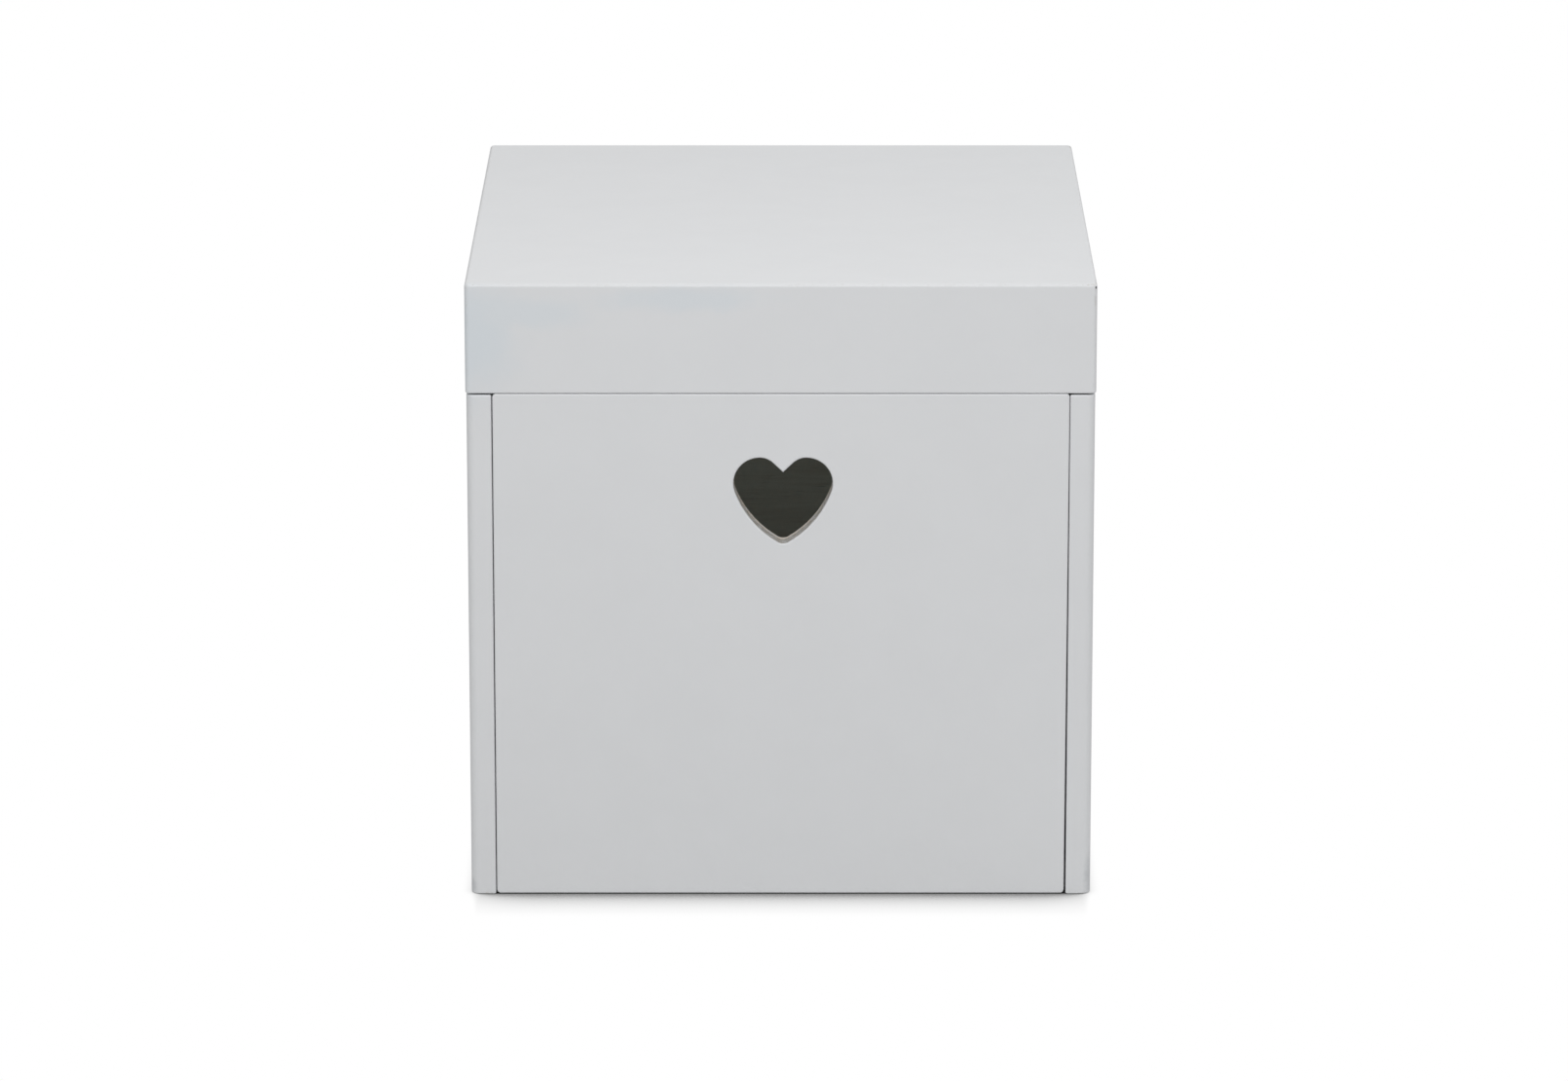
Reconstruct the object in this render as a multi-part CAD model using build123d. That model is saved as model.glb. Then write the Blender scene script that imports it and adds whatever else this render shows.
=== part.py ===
from build123d import *
import math
import os

# Wind-up music box: a case of painted boards with a hinged lid, a drawer pulled by a heart-shaped
# finger hole, and a pinned-cylinder movement on the back board, wound by a key behind the case.
# Millimetres. +X right, +Y back, +Z up. The origin is the centre of the case's footprint, on the floor.

# Case and lid
case_width = 150.0  # outside, left to right
case_depth = 165.0  # outside, front to back, without the key
case_height = 151.4  # floor to the top of the closed lid
lid_height = 26.7  # whole lid, top board and rails
lid_overhang = 0.2  # lid past the case, left and right
board = 6.0  # thickness of every painted board
case_corner_radius = 2.0  # upright outer corners of the case
lid_corner_radius = 1.2  # upright outer corners of the lid
top_edge_radius = 0.8  # edges of the lid's top board
arris = 0.4  # eased edge of a painted board
lid_gap = 0.4  # rim to the closed lid

# Tray deck under the lid
deck_thickness = 10.0
tray_depth = 7.0
tray_margin = 12.0  # deck left at the front and the sides of the tray
tray_back_margin = 34.0  # deck left behind the tray
tray_corner_radius = 6.0
felt_thickness = 1.0
felt_gap = 0.2  # felt to the walls round it
front_gap = 0.3  # back of the drawer front to the boards behind it

# Drawer
drawer_board = 5.0
drawer_bottom = 3.0
drawer_bottom_lift = 2.0  # underside of the bottom above the runners
drawer_left_gap = 0.22  # drawer front to the left side board
drawer_right_top_gap = 0.12  # drawer front to the right side board, at the top
drawer_right_foot_gap = 0.45  # the same at the floor: the front is a little out of square
drawer_top_gap = 0.12  # drawer front to the closed lid
drawer_floor_gap = 0.2  # drawer front to the floor
drawer_corner_radius = 0.9  # corners of the drawer front
drawer_run_gap = 0.15  # runners to the base
drawer_guide_gap = 0.5  # drawer sides to the case sides
drawer_deck_gap = 0.6  # drawer back to the deck
drawer_rear_gap = 1.0  # drawer back to the movement behind it
drawer_travel = 95.0
drawer_stop_depth = 5.0  # batten under the deck that catches the drawer back
drawer_stop_height = 4.4
drawer_stop_gap = 0.3
drawer_side_gap = 0.6  # top of the drawer sides to the batten

# Heart finger hole: straight flanks down to the cleft, round shoulders and lobes, bowed sides, a round tip
heart_x = 0.54  # middle of the hole, right of the middle of the case
heart_drop = 15.4  # rim to the top of the lobes
heart_height = 21.15
heart_lobe_spacing = 11.1  # between the tops of the lobes
heart_lobe_radius = 6.33  # lobe, from its top outwards
heart_shoulder_radius = 4.5  # lobe, from its top inwards
heart_cleft_angle = 43.5  # fall of the flanks towards the cleft
heart_side_radius = 24.0
heart_tip_radius = 2.5
heart_easing = 0.4

# Butt hinges; the bevelled back edges of case and lid meet and stop the lid
hinge_length = 18.0
hinge_end_distance = 30.0  # side of the case to the middle of a hinge
hinge_inset = 2.0  # axis inside the back face
hinge_barrel_radius = 1.4
hinge_pin_radius = 0.6
hinge_leaf = 0.6
hinge_leaf_reach = 3.8
hinge_leaf_gap = 0.2  # between the two closed leaves
hinge_running_gap = 0.2  # between knuckles, and round the barrel
hinge_knuckles = 3
hinge_screw_radius = 0.5
hinge_screw_head_radius = 0.9
hinge_screw_length = 5.0
hinge_screw_spacing = 10.0
lid_open_angle = 95.0
lid_stop_gap = 0.15

# Fits
running_fit = 0.04  # radial, a shaft that turns in its hole
seat_fit = 0.02  # radial, a piece fixed on its shaft or in its hole
screw_clearance = 0.15  # radial, a screw through a board that it clamps
running_gap = 0.5  # moving pieces to what stands beside them
thin_gap = 0.3  # stacked pieces that slide past each other

# Movement: place of the winding arbor on the back board, and the cast plate
key_x = 0.0
key_z = 62.0
plate_thickness = 2.5
plate_margin = 3.0
plate_corner_radius = 2.5
ear_thickness = 1.5
ear_radius = 3.0

# Winding arbor, mainspring and its housing, ratchet and key
arbor_radius = 1.5
arbor_hub_radius = 2.4
spring_strip = 0.35
spring_turn_pitch = 0.9
housing_gap = 0.7  # housing to the cylinder's pinion
housing_wall = 0.7
ratchet_teeth = 12
ratchet_tip_radius = 4.4
ratchet_root_radius = 3.5
ratchet_thickness = 1.2
click_thickness = 1.0
click_width = 1.3
click_length = 6.0
click_eye_radius = 1.5
click_gap = 0.15  # nose to the ratchet's tips
clip_thickness = 0.8
clip_radius = 3.0
key_hub_radius = 3.2
key_hub_length = 11.0
key_wing_radius = 6.2
key_wing_spacing = 14.0
key_wing_thickness = 1.8
key_eye_radius = 2.6
key_back_gap = 4.0  # back board to the key's hub
key_wing_bite = 3.0  # how far the wings reach down over the hub's end
key_easing = 0.4

# Drive: face gear on the arbor, pinion on the cylinder's shaft
drive_module = 0.5
drive_teeth = 48
pinion_teeth = 18
drive_face = 1.8  # width of the pinion and of the ring of teeth
drive_web = 1.6
drive_slot_top_share = 0.74  # slot width over pitch, at the teeth's tips
drive_slot_floor_share = 0.5
drive_hub_radius = 3.2
drive_hub_length = 2.3

# Pinned cylinder and comb
note_count = 18
note_pitch = 1.0
cylinder_radius = 6.5
cylinder_wall = 0.8
cylinder_end = 1.2
pin_radius = 0.2
pin_height = 0.8
pin_root = 0.4
beat_count = 36
pins_per_note = 4
shaft_radius = 1.0
comb_thickness = 1.0
comb_slot = 0.25
comb_tip_gap = 0.15
comb_long_tooth = 12.0
comb_short_tooth = 7.0
comb_base = 6.0
comb_ledge = 0.6  # comb past its outer teeth
weight_count = 7
weight_length = 3.0
weight_height = 1.5
weight_setback = 1.5
comb_screw_radius = 0.9
comb_screw_head_radius = 1.7
comb_screw_head_height = 1.2
comb_screw_inset = 3.0
comb_screw_bite = 4.0

# Governor: wheel and pinion, worm wheel, worm and air-brake fly
train_module = 0.4
wheel_teeth = 36
governor_pinion_teeth = 9
worm_wheel_teeth = 24
worm_starts = 2
worm_pitch_radius = 1.6
worm_length = 6.2
worm_wheel_face = 1.0
train_face = 1.5
tooth_tip_share = 0.2  # tooth width over pitch, at the tip and the root
tooth_root_share = 0.5
governor_arbor_radius = 0.7
fly_shaft_radius = 0.8
fly_pivot_radius = 0.4
fly_pivot_length = 1.0
fly_radius = 4.5
fly_disc = 0.6
fly_height = 4.0
fly_vane = 0.6
fly_hub_radius = 1.4
cock_thickness = 1.2
cock_width = 6.0
cock_foot = 3.2
cock_reach = 2.5  # arm past the fly's axis

# Machine screws and rivets of the movement
screw_radius = 1.2
screw_head_radius = 2.3
screw_head_height = 1.5
small_screw_radius = 0.7
small_screw_head_radius = 1.3
small_screw_head_height = 0.9
slot_width = 0.5
slot_depth = 0.6

# Stop rod that the closing lid pushes down beside the fly
rod_radius = 0.9
rod_lid_gap = 0.1
pad_radius = 1.5
pad_length = 3.5
pad_socket = 2.0
pad_gap = 0.2
cap_radius = 2.8
cap_height = 3.0
cap_socket = 2.0
cap_easing = 0.6
bush_radius = 2.0
bush_flange_radius = 3.4
bush_flange = 1.0
stop_spring_radius = 2.1
stop_spring_wire = 0.5
stop_spring_turns = 8
stop_spring_gap = 0.1  # spring's ends to the flange and the cap

# Places of the boards
right_x = case_width / 2
inner_x = right_x - board
lid_right_x = right_x + lid_overhang
lid_inner_x = lid_right_x - board
back_y = case_depth / 2
front_y = -back_y
inner_back_y = back_y - board
inner_front_y = front_y + board
behind_front_y = inner_front_y + front_gap
lid_foot_z = case_height - lid_height
lid_ceiling_z = case_height - board
rim_z = lid_foot_z - lid_gap
deck_z = rim_z - deck_thickness
tray_floor_z = rim_z - tray_depth
hinge_y = back_y - hinge_inset
hinge_z = rim_z + lid_gap / 2
hinge_centres = (-right_x + hinge_end_distance, right_x - hinge_end_distance)

# The movement is laid out on the back board's inner face: x to the right and y up from the winding
# arbor, z out of the board towards the front of the case.
movement_frame = Plane(origin=(key_x, inner_back_y, key_z), x_dir=(1, 0, 0), z_dir=(0, -1, 0))

# Teeth
drive_pitch_radius = drive_module * drive_teeth / 2
pinion_pitch_radius = drive_module * pinion_teeth / 2
drive_addendum = 0.9 * drive_module
drive_dedendum = 1.2 * drive_module
wheel_pitch_radius = train_module * wheel_teeth / 2
governor_pinion_pitch_radius = train_module * governor_pinion_teeth / 2
worm_wheel_pitch_radius = train_module * worm_wheel_teeth / 2
train_addendum = 0.9 * train_module
train_dedendum = 1.25 * train_module
worm_tip_radius = worm_pitch_radius + train_addendum
worm_root_radius = worm_pitch_radius - train_dedendum
pin_tip_radius = cylinder_radius + pin_height

# Movement, along the cylinder's axle
pinion_x = drive_pitch_radius - drive_face / 2
near_ear_x = drive_pitch_radius + drive_face / 2 + running_gap
drum_x = near_ear_x + ear_thickness + running_gap
drum_length = note_count * note_pitch + 2 * comb_ledge
drum_end_x = drum_x + drum_length
wheel_x = drum_end_x + running_gap
far_ear_x = wheel_x + train_face + running_gap
worm_x = far_ear_x + ear_thickness + running_gap + worm_tip_radius
outer_ear_x = worm_x + worm_tip_radius + running_gap
outer_ear_end_x = outer_ear_x + ear_thickness
cock_x = max(worm_x + fly_radius, outer_ear_end_x) + running_gap
plate_left_x = -drive_pitch_radius - drive_face / 2 - running_gap
plate_right_x = cock_x + cock_thickness + running_gap

# Movement, across the axle
governor_y = wheel_pitch_radius + governor_pinion_pitch_radius
worm_y = governor_y + worm_wheel_pitch_radius + worm_pitch_radius
cock_low_y = governor_y + ear_radius + running_gap
cock_high_y = cock_low_y + cock_width
comb_tip_y = -pin_tip_radius - comb_tip_gap
comb_root_y = comb_tip_y - comb_long_tooth
comb_back_y = comb_root_y - comb_base
plate_low_y = comb_back_y - running_gap
plate_high_y = max(worm_y + fly_radius, cock_high_y)

# Movement, up from the back board
axle_z = plate_thickness + running_gap + max(wheel_pitch_radius + train_addendum, pin_tip_radius)
drive_tip_z = axle_z + pinion_pitch_radius - drive_addendum
drive_root_z = axle_z + pinion_pitch_radius + drive_dedendum
drive_hub_z = drive_root_z - drive_hub_length
drive_top_z = drive_root_z + drive_web
housing_radius = pinion_x - housing_gap
housing_top_z = drive_hub_z - thin_gap
coil_low_z = plate_thickness + thin_gap
coil_high_z = housing_top_z - housing_wall - thin_gap
ratchet_z = drive_top_z + thin_gap
clip_z = ratchet_z + ratchet_thickness
arbor_top_z = clip_z + clip_thickness + thin_gap
comb_z = axle_z - comb_thickness / 2
comb_top_z = comb_z + comb_thickness
fly_z = axle_z + worm_wheel_pitch_radius + train_addendum + running_gap
fly_top_z = fly_z + fly_disc + fly_height
cock_z = fly_top_z + running_gap
cock_top_z = cock_z + cock_thickness
movement_height = max(cock_top_z, arbor_top_z)
key_foot_z = -board - key_back_gap
key_end_z = key_foot_z - key_hub_length

# Places of the drawer, which ends in front of the movement
front_top_z = lid_foot_z - drawer_top_gap
runner_z = board + drawer_run_gap
drawer_floor_z = runner_z + drawer_bottom_lift + drawer_bottom
drawer_out_x = inner_x - drawer_guide_gap
drawer_in_x = drawer_out_x - drawer_board
drawer_rear_y = inner_back_y - movement_height - drawer_rear_gap
drawer_back_y = drawer_rear_y - drawer_board
stop_z = deck_z - drawer_stop_height
drawer_side_z = stop_z - drawer_side_gap
drawer_back_z = deck_z - drawer_deck_gap

# Places of the stop rod, which stands over the rim of the fly's disc
rod_x = key_x + worm_x
rod_y = inner_back_y - fly_z - fly_disc / 2
pad_z = key_z + worm_y + fly_radius + pad_gap
pad_top_z = pad_z + pad_length
cap_top_z = lid_ceiling_z - rod_lid_gap
cap_z = cap_top_z - cap_height
bush_top_z = rim_z + bush_flange

ON_BASE = (Align.CENTER, Align.CENTER, Align.MIN)
UNDER_TOP = (Align.CENTER, Align.CENTER, Align.MAX)


def block(low_x, high_x, low_y, high_y, low_z, high_z):
    """Box between two corners."""
    middle = Pos((low_x + high_x) / 2, (low_y + high_y) / 2, (low_z + high_z) / 2)
    return middle * Box(high_x - low_x, high_y - low_y, high_z - low_z)


def rod(start, end, radius):
    """Cylinder from one point to another."""
    way = Vector(*end) - Vector(*start)
    return Plane(origin=start, z_dir=way) * Cylinder(radius, way.length, align=ON_BASE)


def upright(x, y, low_z, high_z, radius):
    """Cylinder along Z."""
    return Pos(x, y, low_z) * Cylinder(radius, high_z - low_z, align=ON_BASE)


def along_axle(low_x, high_x, y, radius):
    """Cylinder along the movement's axles."""
    return rod((low_x, y, axle_z), (high_x, y, axle_z), radius)


def solid(outline, height, plane=Plane.XY):
    """Closed outline on a plane, raised along the plane's normal."""
    return extrude(plane * make_face(outline), amount=height)


def countersunk_screw(point, way, radius, head_radius, length):
    """Wood screw whose flat head ends at a point; way is where it is driven."""
    base = Plane(origin=point, z_dir=way)
    head = base * Cone(head_radius, radius, head_radius - radius, align=ON_BASE)
    return head + base * Cylinder(radius, length, align=ON_BASE)


def slotted_screw(point, way, radius, length, head_radius, head_height):
    """Machine screw whose slotted head seats at a point; way is where it is driven."""
    base = Plane(origin=point, z_dir=way)
    head = base * Cylinder(head_radius, head_height, align=UNDER_TOP)
    slot = base * Pos(0, 0, -head_height) * Box(3 * head_radius, slot_width, slot_depth, align=ON_BASE)
    return head + base * Cylinder(radius, length, align=ON_BASE) - slot


def toothed_disc(teeth, tip_radius, root_radius, width, turn):
    """Wheel with straight-flanked teeth, raised from the XY plane; one tooth stands at turn degrees."""
    corners = (
        (root_radius, -tooth_root_share / 2),
        (tip_radius, -tooth_tip_share / 2),
        (tip_radius, tooth_tip_share / 2),
        (root_radius, tooth_root_share / 2),
    )
    points = []
    for tooth in range(teeth):
        for radius, offset in corners:
            angle = math.radians(turn + (tooth + offset) * 360 / teeth)
            points.append((radius * math.cos(angle), radius * math.sin(angle)))
    return solid(Polyline(*points, close=True), width)


def train_disc(teeth, width, turn):
    """Wheel or pinion of the governor's train."""
    pitch_radius = train_module * teeth / 2
    return toothed_disc(teeth, pitch_radius + train_addendum, pitch_radius - train_dedendum, width, turn)


def on_axle(piece, x, y):
    """Lays a piece raised from the XY plane along the movement's axles; its +X comes to lie upwards."""
    return Plane(origin=(x, y, axle_z), x_dir=(0, 1, 0), z_dir=(1, 0, 0)) * piece


# Case boards, cut from one eased block so that their outer faces run on from board to board

def eased_block(half_width, low_z, high_z, corner_radius, top_radius, foot_radius):
    """Block as deep as the case, its upright corners rounded and its rims eased."""
    whole = block(-half_width, half_width, front_y, back_y, low_z, high_z)
    whole = fillet(whole.edges().filter_by(Axis.Z), corner_radius)
    whole = fillet(whole.faces().sort_by(Axis.Z)[-1].edges(), top_radius)
    return fillet(whole.faces().sort_by(Axis.Z)[0].edges(), foot_radius)


def lid_stop_notch():
    """V along the back, between case and lid; its two bevels meet when the lid is fully open."""
    apex_y = hinge_y - lid_stop_gap
    depth = back_y - apex_y + board
    rise = depth * math.tan(math.radians(lid_open_angle / 2))
    corners = [(apex_y, hinge_z), (apex_y + depth, hinge_z - rise), (apex_y + depth, hinge_z + rise)]
    across = Plane(origin=(-case_width, 0, 0), x_dir=(0, 1, 0), z_dir=(1, 0, 0))
    return solid(Polyline(*corners, close=True), 2 * case_width, across)


def ease_front_edge(side_board, edge_x):
    """Rounds the upright front edge that faces the drawer."""
    uprights = side_board.edges().filter_by(Axis.Z)
    inner = uprights.filter_by(lambda edge: abs(edge.center().X - edge_x) < arris)
    return fillet(inner.sort_by(Axis.Y)[0], arris)


def side_boards(shell, notch):
    left = (shell & block(-right_x, -inner_x, front_y, back_y, 0, rim_z)) - notch
    right = (shell & block(inner_x, right_x, front_y, back_y, 0, rim_z)) - notch
    return ease_front_edge(left, -inner_x), ease_front_edge(right, inner_x)


def back_board(shell, notch):
    panel = shell & block(-inner_x, inner_x, inner_back_y, back_y, 0, rim_z)
    holes = [movement_frame * upright(0, 0, -board, 0, arbor_radius + running_gap)]
    for x, y in movement_screw_points():
        holes.append(movement_frame * upright(x, y, -board, 0, screw_radius + screw_clearance))
    return panel - notch - hinge_mortise(-1) - holes


def base_board(shell):
    return shell & block(-inner_x, inner_x, behind_front_y, inner_back_y, 0, board)


# Tray deck, its felt and the batten that stops the drawer

def tray_outline(inset):
    """Rounded rectangle of the tray, taken in by an inset."""
    low_y = behind_front_y + tray_margin + inset
    high_y = inner_back_y - tray_back_margin - inset
    width = 2 * (inner_x - tray_margin - inset)
    outline = RectangleRounded(width, high_y - low_y, tray_corner_radius - inset)
    return Pos(0, (low_y + high_y) / 2, tray_floor_z) * outline


def tray_deck():
    deck = block(-inner_x, inner_x, behind_front_y, inner_back_y, deck_z, rim_z)
    tray = extrude(tray_outline(0), amount=tray_depth)
    bush_hole = upright(rod_x, rod_y, deck_z, rim_z, bush_radius + seat_fit)
    return deck - tray - bush_hole - hinge_mortise(-1)


def tray_felt():
    return extrude(tray_outline(felt_gap), amount=felt_thickness)


def drawer_stop():
    rear = drawer_back_y - drawer_travel - drawer_stop_gap
    return block(-drawer_in_x, drawer_in_x, rear - drawer_stop_depth, rear, stop_z, deck_z)


# Drawer

def heart_outline():
    """Closed heart, X across and Y up from the floor, hung by the tops of its lobes."""
    top = rim_z - heart_drop
    crown = Vector(heart_lobe_spacing / 2, top)
    lobe = crown - Vector(0, heart_lobe_radius)
    shoulder = crown - Vector(0, heart_shoulder_radius)
    tip = Vector(0, top - heart_height + heart_tip_radius)
    lobe_reach = heart_side_radius - heart_lobe_radius
    tip_reach = heart_side_radius - heart_tip_radius
    apart = (tip - lobe).length
    along = (tip - lobe).normalized()
    run = (lobe_reach**2 - tip_reach**2 + apart**2) / (2 * apart)
    off = math.sqrt(lobe_reach**2 - run**2)
    bow = lobe + along * run + Vector(along.Y, -along.X) * off
    lobe_end = bow + (lobe - bow).normalized() * heart_side_radius
    tip_end = bow + (tip - bow).normalized() * heart_side_radius
    side = bow + ((lobe_end + tip_end) / 2 - bow).normalized() * heart_side_radius
    lobe_side = lobe + ((crown + lobe_end) / 2 - lobe).normalized() * heart_lobe_radius
    fall = math.radians(heart_cleft_angle)
    flank_end = shoulder + Vector(-math.sin(fall), math.cos(fall)) * heart_shoulder_radius
    shoulder_side = shoulder + Vector(-math.sin(fall / 2), math.cos(fall / 2)) * heart_shoulder_radius
    cleft = Vector(0, flank_end.Y - flank_end.X * math.tan(fall))
    point = tip - Vector(0, heart_tip_radius)

    def other(place):
        return Vector(-place.X, place.Y)

    return [
        Line(cleft, flank_end),
        ThreePointArc(flank_end, shoulder_side, crown),
        ThreePointArc(crown, lobe_side, lobe_end),
        ThreePointArc(lobe_end, side, tip_end),
        ThreePointArc(tip_end, point, other(tip_end)),
        ThreePointArc(other(tip_end), other(side), other(lobe_end)),
        ThreePointArc(other(lobe_end), other(lobe_side), other(crown)),
        ThreePointArc(other(crown), other(shoulder_side), other(flank_end)),
        Line(other(flank_end), cleft),
    ]


def drawer_front():
    corners = [
        (-inner_x + drawer_left_gap, drawer_floor_gap),
        (inner_x - drawer_right_foot_gap, drawer_floor_gap),
        (inner_x - drawer_right_top_gap, front_top_z),
        (-inner_x + drawer_left_gap, front_top_z),
    ]
    face = Plane(origin=(0, inner_front_y, 0), x_dir=(1, 0, 0), z_dir=(0, -1, 0))
    panel = solid(Polyline(*corners, close=True), board, face)
    panel = fillet(panel.edges().filter_by(Axis.Y), drawer_corner_radius)
    panel = fillet(panel.faces().sort_by(Axis.Y)[0].edges(), arris)
    panel = panel - Pos(heart_x, 0, 0) * solid(heart_outline(), board, face)
    return fillet(panel.faces().sort_by(Axis.Y)[0].inner_wires()[0].edges(), heart_easing)


def drawer_side(low_x, high_x):
    return block(low_x, high_x, inner_front_y, drawer_rear_y, runner_z, drawer_side_z)


def drawer_back():
    return block(-drawer_in_x, drawer_in_x, drawer_back_y, drawer_rear_y, runner_z, drawer_back_z)


def drawer_floor():
    low_z = drawer_floor_z - drawer_bottom
    return block(-drawer_in_x, drawer_in_x, inner_front_y, drawer_back_y, low_z, drawer_floor_z)


def drawer_felt():
    edge_x = drawer_in_x - felt_gap
    low_y, high_y = inner_front_y + felt_gap, drawer_back_y - felt_gap
    return block(-edge_x, edge_x, low_y, high_y, drawer_floor_z, drawer_floor_z + felt_thickness)


# Lid

def lid_boards(notch):
    shell = eased_block(lid_right_x, lid_foot_z, case_height, lid_corner_radius, top_edge_radius, arris)
    across = (-lid_right_x, lid_right_x)
    between = (inner_front_y, inner_back_y)
    rails = (lid_foot_z, lid_ceiling_z)
    back_rail = shell & block(*across, inner_back_y, back_y, *rails)
    return {
        "lid_top": shell & block(*across, front_y, back_y, lid_ceiling_z, case_height),
        "lid_front_rail": shell & block(*across, front_y, inner_front_y, *rails),
        "lid_back_rail": back_rail - notch - hinge_mortise(1),
        "lid_left_rail": shell & block(-lid_right_x, -lid_inner_x, *between, *rails),
        "lid_right_rail": shell & block(lid_inner_x, lid_right_x, *between, *rails),
    }


# Hinges; leaf_side is 1 for the lid's leaves and -1 for the case's

def hinge_screw_points(middle_x):
    """Where the two screws of one leaf stand, in the middle of what the knuckles leave of it."""
    leaf_y = hinge_y - (hinge_leaf_reach + hinge_barrel_radius + hinge_running_gap) / 2
    return [(middle_x + side * hinge_screw_spacing / 2, leaf_y) for side in (-1, 1)]


def hinge_screws_of(middle_x, leaf_side, extra_radius):
    """The two screws of one leaf, or with an extra radius the seats that take them."""
    near_z = hinge_z + leaf_side * hinge_leaf_gap / 2
    way = (0, 0, leaf_side)
    sizes = (hinge_screw_radius + extra_radius, hinge_screw_head_radius + extra_radius, hinge_screw_length)
    return [countersunk_screw((x, y, near_z), way, *sizes) for x, y in hinge_screw_points(middle_x)]


def hinge_screws(leaf_side):
    return [screw for middle_x in hinge_centres for screw in hinge_screws_of(middle_x, leaf_side, 0)]


def barrel(low_x, high_x, radius):
    """Cylinder about the hinge axis."""
    return rod((low_x, hinge_y, hinge_z), (high_x, hinge_y, hinge_z), radius)


def hinge_mortise(leaf_side):
    """Seats cut in the boards for the leaves, barrels and screws of both hinges."""
    cuts = []
    seat_z = hinge_z + leaf_side * (hinge_leaf_gap / 2 + hinge_leaf)
    low_z, high_z = min(seat_z, hinge_z), max(seat_z, hinge_z)
    for middle_x in hinge_centres:
        low_x = middle_x - hinge_length / 2 - hinge_running_gap
        high_x = middle_x + hinge_length / 2 + hinge_running_gap
        cuts.append(block(low_x, high_x, hinge_y - hinge_leaf_reach, hinge_y, low_z, high_z))
        cuts.append(barrel(low_x, high_x, hinge_barrel_radius + hinge_running_gap))
        cuts.extend(hinge_screws_of(middle_x, leaf_side, seat_fit))
    return cuts


def hinge_leaf_piece(middle_x, leaf_side):
    """One leaf with its own knuckles, cut clear of the other leaf's."""
    near_z = hinge_z + leaf_side * hinge_leaf_gap / 2
    far_z = near_z + leaf_side * hinge_leaf
    low_x, high_x = middle_x - hinge_length / 2, middle_x + hinge_length / 2
    low_z, high_z = min(near_z, far_z), max(near_z, far_z)
    leaf = block(low_x, high_x, hinge_y - hinge_leaf_reach, hinge_y, low_z, high_z)
    step = hinge_length / hinge_knuckles
    half_gap = hinge_running_gap / 2
    knuckles = []
    clearances = []
    for knuckle in range(hinge_knuckles):
        start_x = low_x + knuckle * step
        of_case = knuckle % 2 == 0
        if of_case == (leaf_side < 0):
            knuckles.append(barrel(start_x + half_gap, start_x + step - half_gap, hinge_barrel_radius))
        else:
            wide = hinge_barrel_radius + hinge_running_gap
            clearances.append(barrel(start_x - half_gap, start_x + step + half_gap, wide))
    bore = barrel(low_x, high_x, hinge_pin_radius + running_fit)
    return leaf - clearances + knuckles - bore - hinge_screws_of(middle_x, leaf_side, seat_fit)


def hinge_pins():
    half = hinge_length / 2
    return [barrel(middle_x - half, middle_x + half, hinge_pin_radius) for middle_x in hinge_centres]


# Movement: plate and what is fixed to it

def movement_screw_points():
    """Three screws that hold the plate to the back board."""
    inset = plate_margin + screw_radius
    return [
        (plate_left_x + inset, plate_low_y + inset),
        (plate_right_x - inset, plate_low_y + inset),
        (drum_x, plate_high_y - inset),
    ]


def comb_screw_points():
    screw_y = comb_back_y + comb_base / 2
    return [(drum_x + comb_screw_inset, screw_y), (drum_end_x - comb_screw_inset, screw_y)]


def cock_screw_point():
    return cock_x - cock_foot / 2, (cock_low_y + cock_high_y) / 2


def plate_ear(x, low_y, high_y):
    """Upright wall on the plate that carries axles."""
    return block(x, x + ear_thickness, low_y, high_y, plate_thickness, axle_z + ear_radius)


def bedplate():
    outline = RectangleRounded(plate_right_x - plate_left_x, plate_high_y - plate_low_y, plate_corner_radius)
    middle = Pos((plate_left_x + plate_right_x) / 2, (plate_low_y + plate_high_y) / 2, 0)
    plate = extrude(middle * outline, amount=plate_thickness)
    raised = [
        block(drum_x, drum_end_x, comb_back_y, comb_root_y, plate_thickness, comb_z),
        plate_ear(near_ear_x, -ear_radius, ear_radius),
        plate_ear(far_ear_x, -ear_radius, governor_y + ear_radius),
        plate_ear(outer_ear_x, governor_y - ear_radius, governor_y + ear_radius),
    ]
    pivot_floor_z = plate_thickness - fly_pivot_length - thin_gap
    holes = [
        upright(0, 0, 0, plate_thickness, arbor_radius + running_fit),
        along_axle(near_ear_x, far_ear_x + ear_thickness, 0, shaft_radius + running_fit),
        along_axle(far_ear_x, outer_ear_end_x, governor_y, governor_arbor_radius + running_fit),
        upright(worm_x, worm_y, pivot_floor_z, plate_thickness, fly_pivot_radius + running_fit),
        upright(*cock_screw_point(), 0, plate_thickness, small_screw_radius + seat_fit),
    ]
    for x, y in movement_screw_points():
        holes.append(upright(x, y, 0, plate_thickness, screw_radius + seat_fit))
    for x, y in comb_screw_points():
        holes.append(upright(x, y, comb_z - comb_screw_bite, comb_z, comb_screw_radius + seat_fit))
    return plate + raised - holes


def movement_screws():
    sizes = (screw_radius, board + plate_thickness, screw_head_radius, screw_head_height)
    return [slotted_screw((x, y, -board), (0, 0, 1), *sizes) for x, y in movement_screw_points()]


def spring_housing():
    cup = upright(0, 0, plate_thickness, housing_top_z, housing_radius)
    hollow = upright(0, 0, plate_thickness, housing_top_z - housing_wall, housing_radius - housing_wall)
    return cup - hollow - upright(0, 0, plate_thickness, housing_top_z, arbor_radius + running_fit)


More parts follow.
